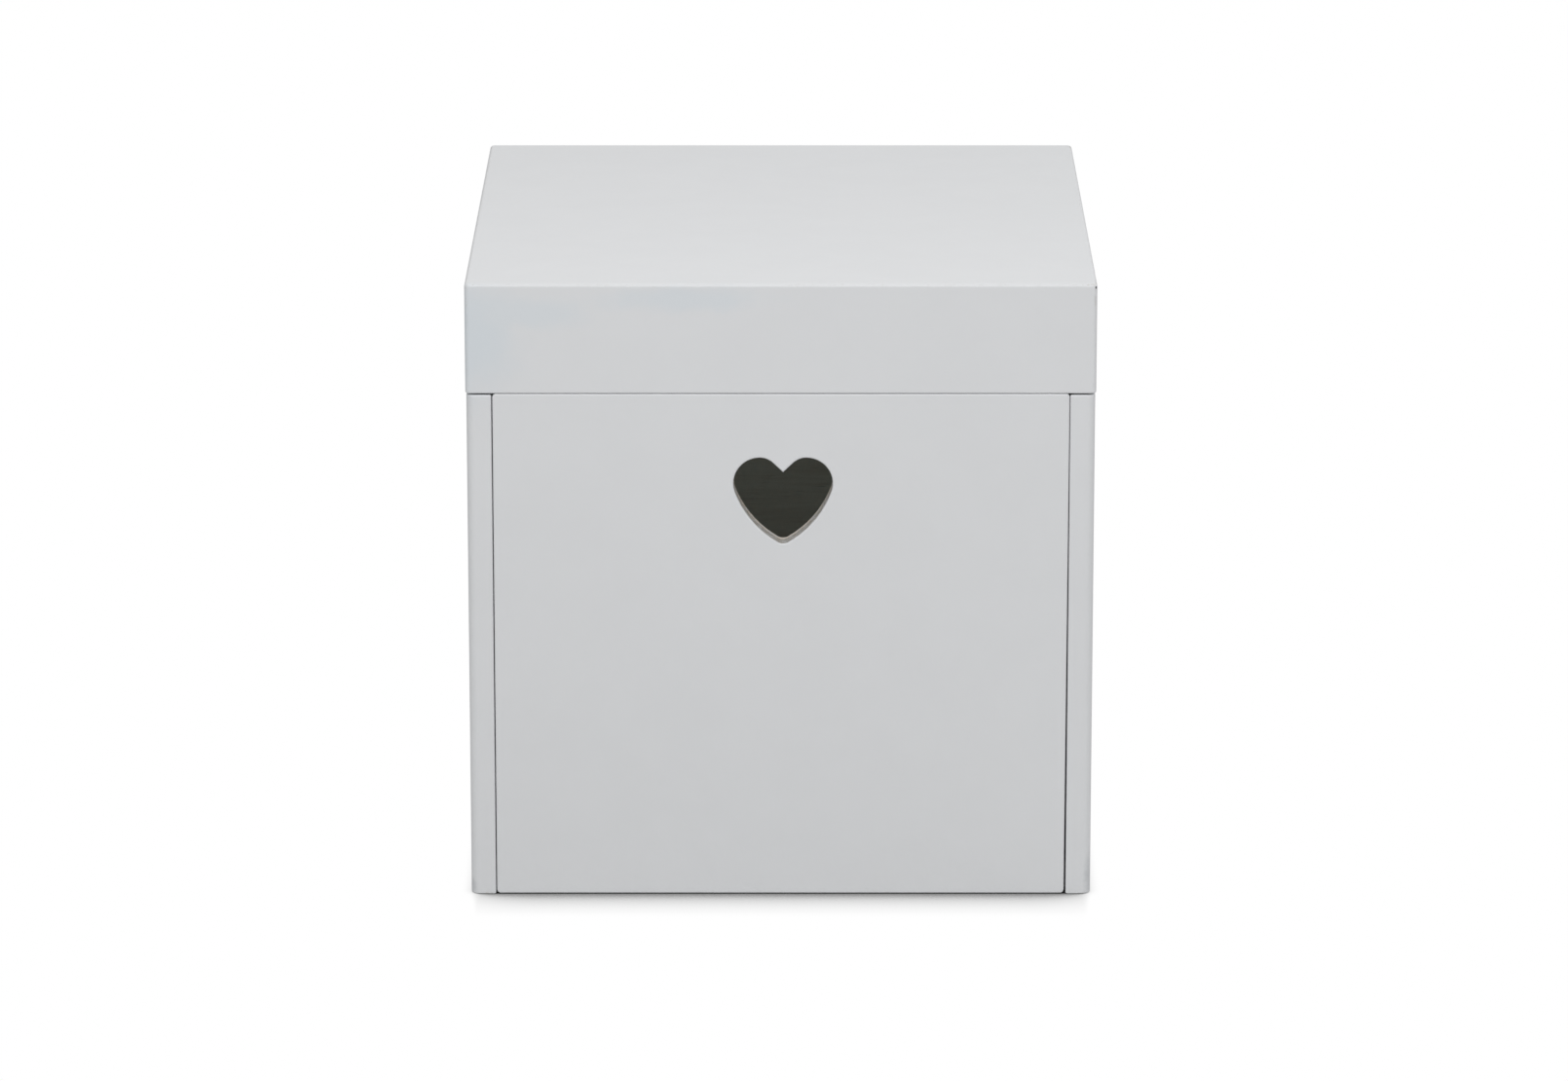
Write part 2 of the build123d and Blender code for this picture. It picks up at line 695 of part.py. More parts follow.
def mainspring():
    """Flat strip coiled in half turns about two alternating centres, as many as the housing holds."""
    half_step = spring_turn_pitch / 2
    first_radius = arbor_hub_radius + thin_gap + spring_strip / 2
    room = housing_radius - housing_wall - thin_gap - spring_strip / 2 - first_radius
    halves = 2 * math.floor(room / spring_turn_pitch)

    def face_of_strip(side):
        arcs = []
        for half in range(halves):
            radius = first_radius + half * half_step + side * spring_strip / 2
            sign = 1 if half % 2 == 0 else -1
            middle = Vector(0 if half % 2 == 0 else half_step, 0)
            reach = Vector(sign * radius, 0)
            arcs.append(ThreePointArc(middle + reach, middle + Vector(0, sign * radius), middle - reach))
        return arcs

    inner = face_of_strip(-1)
    outer = face_of_strip(1)
    ends = [Line(inner[0] @ 0, outer[0] @ 0), Line(inner[-1] @ 1, outer[-1] @ 1)]
    return solid(inner + outer + ends, coil_high_z - coil_low_z, Plane.XY.offset(coil_low_z))


def note_x(note):
    return drum_x + comb_ledge + (note + 0.5) * note_pitch


def comb():
    """Steel comb; its bass teeth are the long ones."""
    plate = block(drum_x, drum_end_x, comb_back_y, comb_tip_y, comb_z, comb_top_z)
    cuts = []
    for gap in range(1, note_count):
        middle_x = note_x(gap) - note_pitch / 2
        share = gap / note_count
        root_y = comb_root_y + share * (comb_long_tooth - comb_short_tooth)
        slot = (middle_x - comb_slot / 2, middle_x + comb_slot / 2)
        cuts.append(block(*slot, root_y, comb_tip_y, comb_z, comb_top_z))
    for x, y in comb_screw_points():
        cuts.append(upright(x, y, comb_z, comb_top_z, comb_screw_radius + screw_clearance))
    return plate - cuts


def comb_weights():
    """Lead under the tips of the bass teeth, which tunes them lower."""
    half = (note_pitch - comb_slot) / 2
    high_y = comb_tip_y - weight_setback
    place = (high_y - weight_length, high_y, comb_z - weight_height, comb_z)
    return [block(note_x(note) - half, note_x(note) + half, *place) for note in range(weight_count)]


def comb_screws():
    length = comb_thickness + comb_screw_bite
    sizes = (comb_screw_radius, length, comb_screw_head_radius, comb_screw_head_height)
    return [slotted_screw((x, y, comb_top_z), (0, 0, -1), *sizes) for x, y in comb_screw_points()]


def governor_cock():
    """Bracket beside the fly whose arm holds the fly's upper pivot."""
    across = (cock_low_y, cock_high_y)
    foot_z = plate_thickness + cock_thickness
    foot = block(cock_x - cock_foot, cock_x, *across, plate_thickness, foot_z)
    web = block(cock_x, cock_x + cock_thickness, *across, plate_thickness, cock_top_z)
    arm = block(worm_x - cock_reach, cock_x, *across, cock_z, cock_top_z)
    pivot_hole = upright(worm_x, worm_y, cock_z, cock_top_z, fly_pivot_radius + running_fit)
    screw_hole = upright(*cock_screw_point(), plate_thickness, foot_z, small_screw_radius + screw_clearance)
    return foot + web + arm - pivot_hole - screw_hole


def cock_screw():
    seat = (*cock_screw_point(), plate_thickness + cock_thickness)
    length = cock_thickness + plate_thickness
    sizes = (small_screw_radius, length, small_screw_head_radius, small_screw_head_height)
    return slotted_screw(seat, (0, 0, -1), *sizes)


# Movement: drive gear with its click, and what the key turns

def drive_gear():
    """Face gear: radial slots in a ring under the web, towards the back board."""
    outer_radius = drive_pitch_radius + drive_face / 2
    ring = upright(0, 0, drive_tip_z, drive_root_z, outer_radius)
    ring = ring - upright(0, 0, drive_tip_z, drive_root_z, pinion_x)
    pitch = math.pi * drive_module
    top, floor = drive_slot_top_share * pitch / 2, drive_slot_floor_share * pitch / 2
    corners = [(-top, drive_tip_z), (top, drive_tip_z), (floor, drive_root_z), (-floor, drive_root_z)]
    outwards = Plane(origin=(pinion_x - drive_face, 0, 0), x_dir=(0, 1, 0), z_dir=(1, 0, 0))
    slot = solid(Polyline(*corners, close=True), 3 * drive_face, outwards)
    slots = [Rot(0, 0, tooth * 360 / drive_teeth) * slot for tooth in range(drive_teeth)]
    web = upright(0, 0, drive_root_z, drive_top_z, outer_radius)
    hub = upright(0, 0, drive_hub_z, drive_root_z, drive_hub_radius)
    bore = upright(0, 0, drive_hub_z, drive_top_z, arbor_radius + running_fit)
    rivet_hole = upright(*click_pivot(), drive_root_z, drive_top_z, small_screw_radius + seat_fit)
    return web + hub + (ring - slots) - bore - rivet_hole


def click_pivot():
    return click_length, ratchet_tip_radius + click_gap + click_width / 2


def click():
    """Spring pawl along the ratchet's rim, with an eye for its rivet."""
    low_y = ratchet_tip_radius + click_gap
    levels = (drive_top_z, drive_top_z + click_thickness)
    arm = block(0, click_length, low_y, low_y + click_width, *levels)
    eye = upright(*click_pivot(), *levels, click_eye_radius)
    return arm + eye - upright(*click_pivot(), *levels, small_screw_radius + seat_fit)


def click_rivet():
    head_z = drive_top_z + click_thickness
    shank = upright(*click_pivot(), drive_root_z, head_z, small_screw_radius)
    return shank + upright(*click_pivot(), head_z, head_z + small_screw_head_height, small_screw_head_radius)


def winding_arbor():
    shank = upright(0, 0, key_end_z + key_wing_bite, arbor_top_z, arbor_radius)
    return shank + upright(0, 0, coil_low_z, coil_high_z, arbor_hub_radius)


def ratchet_wheel():
    points = []
    for tooth in range(ratchet_teeth):
        angle = 2 * math.pi * tooth / ratchet_teeth
        for radius in (ratchet_root_radius, ratchet_tip_radius):
            points.append((radius * math.cos(angle), radius * math.sin(angle)))
    wheel = solid(Polyline(*points, close=True), ratchet_thickness, Plane.XY.offset(ratchet_z))
    return wheel - upright(0, 0, ratchet_z, clip_z, arbor_radius + seat_fit)


def arbor_clip():
    top_z = clip_z + clip_thickness
    return upright(0, 0, clip_z, top_z, clip_radius) - upright(0, 0, clip_z, top_z, arbor_radius + seat_fit)


def winding_key():
    """Hub with two round wings, each pierced by an eye."""
    bite_z = key_end_z + key_wing_bite
    wing_z = bite_z - key_wing_radius
    wing_x = key_wing_spacing / 2
    half = key_wing_thickness / 2
    hub = upright(0, 0, key_end_z, key_foot_z, key_hub_radius)
    hub = fillet(hub.edges().filter_by(GeomType.CIRCLE), key_easing)
    wings = [rod((x, -half, wing_z), (x, half, wing_z), key_wing_radius) for x in (-wing_x, wing_x)]
    eyes = [rod((x, -half, wing_z), (x, half, wing_z), key_eye_radius) for x in (-wing_x, wing_x)]
    bridge = block(-wing_x, wing_x, -half, half, wing_z + key_eye_radius, bite_z)
    bore = upright(0, 0, bite_z, key_foot_z, arbor_radius + seat_fit)
    return hub + wings + bridge - eyes - bore


# Movement: pinned cylinder

def pin(note, beat):
    """One steel pin, square to the drum."""
    angle = 2 * math.pi * (beat + 0.5) / beat_count
    way = Vector(0, math.cos(angle), math.sin(angle))
    middle = Vector(note_x(note), 0, axle_z)
    foot = middle + way * (cylinder_radius - pin_root)
    return Plane(origin=foot, z_dir=way) * Cylinder(pin_radius, pin_root + pin_height, align=ON_BASE)


def pinned_cylinder():
    """Hollow drum whose pins pluck the comb; a rule spreads each note's beats round the drum."""
    drum = along_axle(drum_x, drum_end_x, 0, cylinder_radius)
    hollow = along_axle(drum_x + cylinder_end, drum_end_x - cylinder_end, 0, cylinder_radius - cylinder_wall)
    bore = along_axle(drum_x, drum_end_x, 0, shaft_radius + seat_fit)
    pins = []
    for note in range(note_count):
        beats = {(7 * note + 5 * turn * turn + 11 * turn) % beat_count for turn in range(pins_per_note)}
        pins.extend(pin(note, beat) for beat in sorted(beats))
    return drum + pins - hollow - bore


def cylinder_shaft():
    return along_axle(pinion_x, far_ear_x + ear_thickness, 0, shaft_radius)


def cylinder_pinion():
    tip_radius = pinion_pitch_radius + drive_addendum
    root_radius = pinion_pitch_radius - drive_dedendum
    disc = on_axle(toothed_disc(pinion_teeth, tip_radius, root_radius, drive_face, 90), pinion_x, 0)
    return disc - along_axle(pinion_x, pinion_x + drive_face, 0, shaft_radius + seat_fit)


def cylinder_wheel():
    disc = on_axle(train_disc(wheel_teeth, train_face, 0), wheel_x, 0)
    return disc - along_axle(wheel_x, wheel_x + train_face, 0, shaft_radius + seat_fit)


# Movement: governor

def governor_arbor():
    """Arbor in one piece with its pinion, whose gap takes the cylinder wheel's tooth."""
    turn = 180 + 180 / governor_pinion_teeth
    pinion = on_axle(train_disc(governor_pinion_teeth, train_face, turn), wheel_x, governor_y)
    return pinion + along_axle(wheel_x, outer_ear_end_x, governor_y, governor_arbor_radius)


def worm_wheel():
    low_x = worm_x - worm_wheel_face / 2
    disc = on_axle(train_disc(worm_wheel_teeth, worm_wheel_face, 0), low_x, governor_y)
    return disc - along_axle(low_x, low_x + worm_wheel_face, governor_y, governor_arbor_radius + seat_fit)


def worm_shaft():
    """Shaft with pivots at both ends and a worm, turned so that a gap of its thread takes a wheel tooth."""
    pitch = math.pi * train_module
    lead = worm_starts * pitch
    thread_height = worm_length - tooth_root_share * pitch
    path = Helix(pitch=lead, height=thread_height, radius=worm_pitch_radius)
    root, tip = tooth_root_share * pitch / 2, tooth_tip_share * pitch / 2
    sunk = worm_root_radius - worm_pitch_radius - seat_fit
    corners = [(sunk, -root), (train_addendum, -tip), (train_addendum, tip), (sunk, root)]
    across = Plane(origin=path @ 0, x_dir=(1, 0, 0), z_dir=path % 0)
    thread = sweep(across * make_face(Polyline(*corners, close=True)), path=path, is_frenet=True)
    thread = Pos(0, 0, axle_z - thread_height / 2) * thread
    turn = -90 - (thread_height - pitch) / 2 * 360 / lead
    pieces = [
        upright(0, 0, coil_low_z, cock_z - thin_gap, fly_shaft_radius),
        upright(0, 0, plate_thickness - fly_pivot_length, coil_low_z, fly_pivot_radius),
        upright(0, 0, cock_z - thin_gap, cock_z + fly_pivot_length, fly_pivot_radius),
    ]
    for start in range(worm_starts):
        pieces.append(Rot(0, 0, turn + start * 360 / worm_starts) * thread)
    core = upright(0, 0, axle_z - worm_length / 2, axle_z + worm_length / 2, worm_root_radius)
    return Pos(worm_x, worm_y, 0) * (core + pieces)


def fly():
    """Air brake: a disc that the stop pad can hold, with two vanes on a hub."""
    vane_z = fly_z + fly_disc
    half = fly_vane / 2
    reach = fly_radius - half
    disc = upright(0, 0, fly_z, vane_z, fly_radius)
    hub = upright(0, 0, fly_z, fly_top_z, fly_hub_radius)
    vanes = block(-reach, reach, -half, half, vane_z, fly_top_z)
    bore = upright(0, 0, fly_z, fly_top_z, fly_shaft_radius + seat_fit)
    return Pos(worm_x, worm_y, 0) * (disc + hub + vanes - bore)


# Stop rod with its bush, cap, pad and spring

def stop_rod():
    return upright(rod_x, rod_y, pad_top_z - pad_socket, cap_z + cap_socket, rod_radius)


def stop_pad():
    socket = upright(rod_x, rod_y, pad_top_z - pad_socket, pad_top_z, rod_radius + seat_fit)
    return upright(rod_x, rod_y, pad_z, pad_top_z, pad_radius) - socket


def stop_cap():
    cap = upright(rod_x, rod_y, cap_z, cap_top_z, cap_radius)
    cap = fillet(cap.faces().sort_by(Axis.Z)[-1].edges(), cap_easing)
    return cap - upright(rod_x, rod_y, cap_z, cap_z + cap_socket, rod_radius + seat_fit)


def stop_bush():
    sleeve = upright(rod_x, rod_y, deck_z, rim_z, bush_radius)
    flange = upright(rod_x, rod_y, rim_z, bush_top_z, bush_flange_radius)
    return sleeve + flange - upright(rod_x, rod_y, deck_z, bush_top_z, rod_radius + running_fit)


def biarc(start, start_way, end, end_way):
    """Two arcs in space that leave one point and reach another in given directions."""
    span = end - start
    square = 2 * (1 - start_way.dot(end_way))
    linear = span.dot(start_way + end_way)
    arm = (-linear + math.sqrt(linear**2 + square * span.dot(span))) / square
    corner, last_corner = start + start_way * arm, end - end_way * arm
    joint = (corner + last_corner) / 2
    first = TangentArc(start, joint, tangent=start_way)
    second = TangentArc(joint, end, tangent=last_corner - corner)
    return [first, second]


def least_turn_gap(path, turns, wire):
    """Least distance between points of a coil half a turn or more apart, less the wire."""
    per_turn = 24
    steps = per_turn * turns
    points = [path @ (step / steps) for step in range(steps + 1)]
    least = min(
        (points[first] - points[second]).length
        for first in range(steps + 1)
        for second in range(first + per_turn // 2, steps + 1)
    )
    return least - wire


def stop_spring():
    """Compression spring round the rod, wound in quarter turns between the bush and the cap."""
    low_z = bush_top_z + stop_spring_gap + stop_spring_wire / 2
    high_z = cap_z - stop_spring_gap - stop_spring_wire / 2
    rise = (high_z - low_z) / (2 * math.pi * stop_spring_turns)

    def place(quarter):
        angle = quarter * math.pi / 2
        x, y = stop_spring_radius * math.cos(angle), stop_spring_radius * math.sin(angle)
        return Vector(rod_x + x, rod_y + y, low_z + rise * angle)

    def way(quarter):
        angle = quarter * math.pi / 2
        x, y = -stop_spring_radius * math.sin(angle), stop_spring_radius * math.cos(angle)
        return Vector(x, y, rise).normalized()

    arcs = []
    for quarter in range(4 * stop_spring_turns):
        arcs.extend(biarc(place(quarter), way(quarter), place(quarter + 1), way(quarter + 1)))
    path = Wire(arcs)
    gap = least_turn_gap(path, stop_spring_turns, stop_spring_wire)
    print("stop spring, least gap between turns:", round(gap, 3), "mm")
    section = Plane(origin=place(0), z_dir=way(0)) * Circle(stop_spring_wire / 2)
    return sweep(section, path=path)


# All pieces

def case_pieces():
    shell = eased_block(right_x, 0, rim_z, case_corner_radius, arris, arris)
    notch = lid_stop_notch()
    left_side, right_side = side_boards(shell, notch)
    left_hinge, right_hinge = hinge_centres
    pieces = {
        "left_side": left_side,
        "right_side": right_side,
        "back_panel": back_board(shell, notch),
        "base_panel": base_board(shell),
        "tray_deck": tray_deck(),
        "tray_felt": tray_felt(),
        "drawer_stop": drawer_stop(),
        "drawer_front": drawer_front(),
        "drawer_left_side": drawer_side(-drawer_out_x, -drawer_in_x),
        "drawer_right_side": drawer_side(drawer_in_x, drawer_out_x),
        "drawer_back": drawer_back(),
        "drawer_bottom": drawer_floor(),
        "drawer_felt": drawer_felt(),
        "left_hinge_case_leaf": hinge_leaf_piece(left_hinge, -1),
        "right_hinge_case_leaf": hinge_leaf_piece(right_hinge, -1),
        "left_hinge_lid_leaf": hinge_leaf_piece(left_hinge, 1),
        "right_hinge_lid_leaf": hinge_leaf_piece(right_hinge, 1),
        "hinge_pins": hinge_pins(),
        "hinge_case_screws": hinge_screws(-1),
        "hinge_lid_screws": hinge_screws(1),
        "stop_rod": stop_rod(),
        "stop_pad": stop_pad(),
        "stop_cap": stop_cap(),
        "stop_bush": stop_bush(),
        "stop_spring": stop_spring(),
    }
    pieces.update(lid_boards(notch))
    return pieces


def movement_pieces():
    return {
        "bedplate": bedplate(),
        "movement_screws": movement_screws(),
        "spring_housing": spring_housing(),
        "mainspring": mainspring(),
        "comb": comb(),
        "comb_weights": comb_weights(),
        "comb_screws": comb_screws(),
        "governor_cock": governor_cock(),
        "cock_screw": cock_screw(),
        "drive_gear": drive_gear(),
        "click": click(),
        "click_rivet": click_rivet(),
        "winding_arbor": winding_arbor(),
        "ratchet_wheel": ratchet_wheel(),
        "arbor_clip": arbor_clip(),
        "winding_key": winding_key(),
        "pinned_cylinder": pinned_cylinder(),
        "cylinder_shaft": cylinder_shaft(),
        "cylinder_pinion": cylinder_pinion(),
        "cylinder_wheel": cylinder_wheel(),
        "governor_arbor": governor_arbor(),
        "worm_wheel": worm_wheel(),
        "worm_shaft": worm_shaft(),
        "fly": fly(),
    }


def as_one(piece):
    """A group of separate solids becomes one compound; a single piece stays as it is."""
    return Compound(children=piece) if isinstance(piece, list) else piece


all_pieces = {name: as_one(piece) for name, piece in case_pieces().items()}
for name, piece in movement_pieces().items():
    all_pieces[name] = movement_frame * as_one(piece)

os.makedirs("parts", exist_ok=True)
for name, piece in all_pieces.items():
    export_step(piece, f"parts/{name}.step")
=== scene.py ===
"""Looks of a wind-up music box: satin white boards, felt linings and a small brass and steel movement."""

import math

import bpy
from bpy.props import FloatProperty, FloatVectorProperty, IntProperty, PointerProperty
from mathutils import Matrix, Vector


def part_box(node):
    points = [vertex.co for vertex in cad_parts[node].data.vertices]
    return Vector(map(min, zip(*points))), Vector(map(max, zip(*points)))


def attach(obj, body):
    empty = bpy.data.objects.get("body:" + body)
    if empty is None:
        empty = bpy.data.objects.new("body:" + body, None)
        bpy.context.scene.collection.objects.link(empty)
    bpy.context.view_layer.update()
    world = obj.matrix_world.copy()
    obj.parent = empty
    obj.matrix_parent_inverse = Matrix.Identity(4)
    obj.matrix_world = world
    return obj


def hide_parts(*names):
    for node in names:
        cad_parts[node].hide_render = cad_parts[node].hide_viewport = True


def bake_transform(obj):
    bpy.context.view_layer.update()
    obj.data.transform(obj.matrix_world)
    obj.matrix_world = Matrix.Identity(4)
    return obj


bl_info = {
    "name": "Wind-up Music Box",
    "version": (1, 0, 0),
    "blender": (4, 5, 0),
    "location": "3D View > Sidebar > Music Box",
    "description": "Finishes the boards, linings and movement of a wind-up music box and sets its stage",
    "category": "Object",
}

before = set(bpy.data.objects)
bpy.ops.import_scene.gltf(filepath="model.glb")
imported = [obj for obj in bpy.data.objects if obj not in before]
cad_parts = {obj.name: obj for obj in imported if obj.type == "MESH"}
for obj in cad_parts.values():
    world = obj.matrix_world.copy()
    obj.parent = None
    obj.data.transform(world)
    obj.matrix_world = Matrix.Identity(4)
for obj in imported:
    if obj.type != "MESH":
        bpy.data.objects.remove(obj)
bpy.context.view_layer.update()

MM = 0.001
PANEL_TAB = "Music Box"

# Places read from the frame, in metres
lid_low, lid_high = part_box("lid_top")
front_low, front_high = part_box("drawer_front")
floor_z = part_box("left_side")[0].z
case_half_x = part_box("right_side")[1].x
case_middle = Vector((0, (lid_low.y + lid_high.y) / 2, (floor_z + lid_high.z) / 2))
case_half = Vector((case_half_x, lid_high.y - case_middle.y, lid_high.z - case_middle.z))

# Nodes that share a finish
PAINTED = [
    "left_side", "right_side", "back_panel", "base_panel", "tray_deck",
    "lid_top", "lid_front_rail", "lid_back_rail", "lid_left_rail", "lid_right_rail",
]
BARE_ACROSS = ["drawer_back", "drawer_stop"]
BARE_DEEP = ["drawer_left_side", "drawer_right_side", "drawer_bottom"]
HINGE_BRASS = [
    "left_hinge_case_leaf", "right_hinge_case_leaf", "left_hinge_lid_leaf", "right_hinge_lid_leaf",
    "hinge_case_screws", "hinge_lid_screws",
]
TRAIN_BRASS = [
    "pinned_cylinder", "cylinder_wheel", "drive_gear", "worm_wheel", "ratchet_wheel", "spring_housing",
]
BRIGHT_STEEL = [
    "hinge_pins", "movement_screws", "comb_screws", "cock_screw", "cylinder_shaft", "cylinder_pinion",
    "governor_arbor", "worm_shaft", "winding_arbor", "arbor_clip", "click_rivet", "stop_rod",
]
SPRING_STEEL = ["mainspring", "comb", "click"]
CASTINGS = ["bedplate", "governor_cock"]
MOULDINGS = ["fly", "stop_cap", "stop_bush"]


# Settings that a user would change

class PaintSettings(bpy.types.PropertyGroup):
    """Paint of the boards."""

    colour: FloatVectorProperty(
        name="Paint", description="Satin white of the painted boards", subtype="COLOR",
        min=0, max=1, default=(0.735, 0.745, 0.757),
    )
    # Painted reflection: bluish patches on the lid's front stand in for a cool reflection
    cool_reflection_colour: FloatVectorProperty(
        name="Cool Reflection", description="Tone of the bluish patches on the lid's front", subtype="COLOR",
        min=0, max=1, default=(0.676, 0.717, 0.748),
    )
    # Grey patches at the two front feet of the case, near the floor
    foot_grey_colour: FloatVectorProperty(
        name="Foot Grey", description="Grey of the darkened bottom corners", subtype="COLOR",
        min=0, max=1, default=(0.60, 0.615, 0.63),
    )
    primer_colour: FloatVectorProperty(
        name="Primer", description="What shows where an arris is rubbed", subtype="COLOR",
        min=0, max=1, default=(0.52, 0.50, 0.46),
    )
    chip_colour: FloatVectorProperty(
        name="Chip", description="Dark board where a flake of paint is lost", subtype="COLOR",
        min=0, max=1, default=(0.09, 0.085, 0.08),
    )
    board_colour: FloatVectorProperty(
        name="Cut Board", description="Bare board in the wall of the finger hole", subtype="COLOR",
        min=0, max=1, default=(0.40, 0.36, 0.31),
    )
    # Painted highlight: pale band at the back of the finger hole's wall, where light catches its edge
    back_edge_highlight_colour: FloatVectorProperty(
        name="Edge Highlight", description="Pale brightened board at the back of the finger hole's wall",
        subtype="COLOR", min=0, max=1, default=(0.80, 0.70, 0.58),
    )
    roughness: FloatProperty(
        name="Roughness", description="Satin of the paint", subtype="FACTOR", min=0, max=1, default=0.42,
    )
    peel_size: FloatProperty(
        name="Peel", description="Width of the paint's fine orange peel", unit="LENGTH", default=1.3 * MM,
    )
    peel_depth: FloatProperty(
        name="Peel Depth", description="Depth of the orange peel", unit="LENGTH", default=0.006 * MM,
    )
    rub_width: FloatProperty(
        name="Rubbed Arris", description="How far rubbing reaches from an outer edge", unit="LENGTH",
        default=0.9 * MM,
    )


class BareBoardSettings(bpy.types.PropertyGroup):
    """Unpainted boards of the drawer."""

    pale_colour: FloatVectorProperty(
        name="Early Wood", description="Pale wood between the grain lines", subtype="COLOR",
        min=0, max=1, default=(0.65, 0.53, 0.37),
    )
    dark_colour: FloatVectorProperty(
        name="Late Wood", description="Darker grain lines", subtype="COLOR",
        min=0, max=1, default=(0.58, 0.45, 0.30),
    )
    grain_width: FloatProperty(
        name="Grain Width", description="Distance between grain lines", unit="LENGTH", default=2.2 * MM,
    )
    grain_depth: FloatProperty(
        name="Grain Depth", description="Depth of the grain's relief", unit="LENGTH", default=0.05 * MM,
    )


class FeltSettings(bpy.types.PropertyGroup):
    """Felt of the tray and the drawer."""

    colour: FloatVectorProperty(
        name="Felt", description="Dusty rose of the felt", subtype="COLOR",
        min=0, max=1, default=(0.40, 0.145, 0.165),
    )
    fleck_colour: FloatVectorProperty(
        name="Pale Fibres", description="Paler fibres in the felt", subtype="COLOR",
        min=0, max=1, default=(0.60, 0.31, 0.32),
    )
    nap_depth: FloatProperty(
        name="Nap Depth", description="Depth of the matted fibres", unit="LENGTH", default=0.14 * MM,
    )
    cell: FloatProperty(
        name="Mesh Cell", description="Spacing of the felt's mesh", unit="LENGTH", default=1.6 * MM,
    )
    ripple: FloatProperty(
        name="Ripple", description="How far the felt's face rises and falls", unit="LENGTH",
        default=0.09 * MM,
    )
    rounding: FloatProperty(
        name="Rounding", description="Soft edge of the cut felt", unit="LENGTH", default=0.45 * MM,
    )
    tray_corner: FloatProperty(
        name="Tray Corner", description="Corner radius of the tray's felt", unit="LENGTH", default=5.8 * MM,
    )


class MetalSettings(bpy.types.PropertyGroup):
    """Metals, plastic and rubber of the movement and the fittings."""

    brass: FloatVectorProperty(
        name="Brass", description="Clean brass", subtype="COLOR", min=0, max=1,
        default=(0.79, 0.63, 0.34),
    )
    tarnish: FloatVectorProperty(
        name="Tarnish", description="Brass where it has dulled", subtype="COLOR", min=0, max=1,
        default=(0.45, 0.33, 0.16),
    )
    steel: FloatVectorProperty(
        name="Steel", description="Bright turned steel", subtype="COLOR", min=0, max=1,
        default=(0.60, 0.61, 0.62),
    )
    hard_steel: FloatVectorProperty(
        name="Spring Steel", description="Hardened steel of the comb and springs", subtype="COLOR",
        min=0, max=1, default=(0.36, 0.38, 0.41),
    )
    straw: FloatVectorProperty(
        name="Straw", description="Temper colour left on the hardened steel", subtype="COLOR",
        min=0, max=1, default=(0.33, 0.27, 0.19),
    )
    casting: FloatVectorProperty(
        name="Casting", description="Zinc of the bedplate and the cock", subtype="COLOR",
        min=0, max=1, default=(0.50, 0.51, 0.52),
    )
    lead: FloatVectorProperty(
        name="Lead", description="Weights under the comb", subtype="COLOR", min=0, max=1,
        default=(0.14, 0.145, 0.155),
    )
    moulding: FloatVectorProperty(
        name="Plastic", description="Ivory plastic of the fly, cap and bush", subtype="COLOR",
        min=0, max=1, default=(0.78, 0.75, 0.67),
    )
    rubber: FloatVectorProperty(
        name="Rubber", description="Stop pad", subtype="COLOR", min=0, max=1,
        default=(0.022, 0.022, 0.023),
    )


class SpringSettings(bpy.types.PropertyGroup):
    """Return spring of the stop rod."""

    wire: FloatProperty(name="Wire", description="Diameter of the wire", unit="LENGTH", default=0.5 * MM)
    turns: IntProperty(name="Turns", description="Turns between the bush and the cap", min=3, default=8)
    closed_turns: FloatProperty(
        name="Closed Turns", description="Turns laid close at each end", min=0, default=0.75,
    )
    close_pitch: FloatProperty(
        name="Close Pitch", description="Rise of a closed turn, in wires", min=1, default=1.15,
    )
    wire_sides: IntProperty(name="Wire Sides", description="Sides of the wire's section", min=6, default=12)
    turn_steps: IntProperty(name="Steps", description="Rings of the mesh in one turn", min=12, default=36)


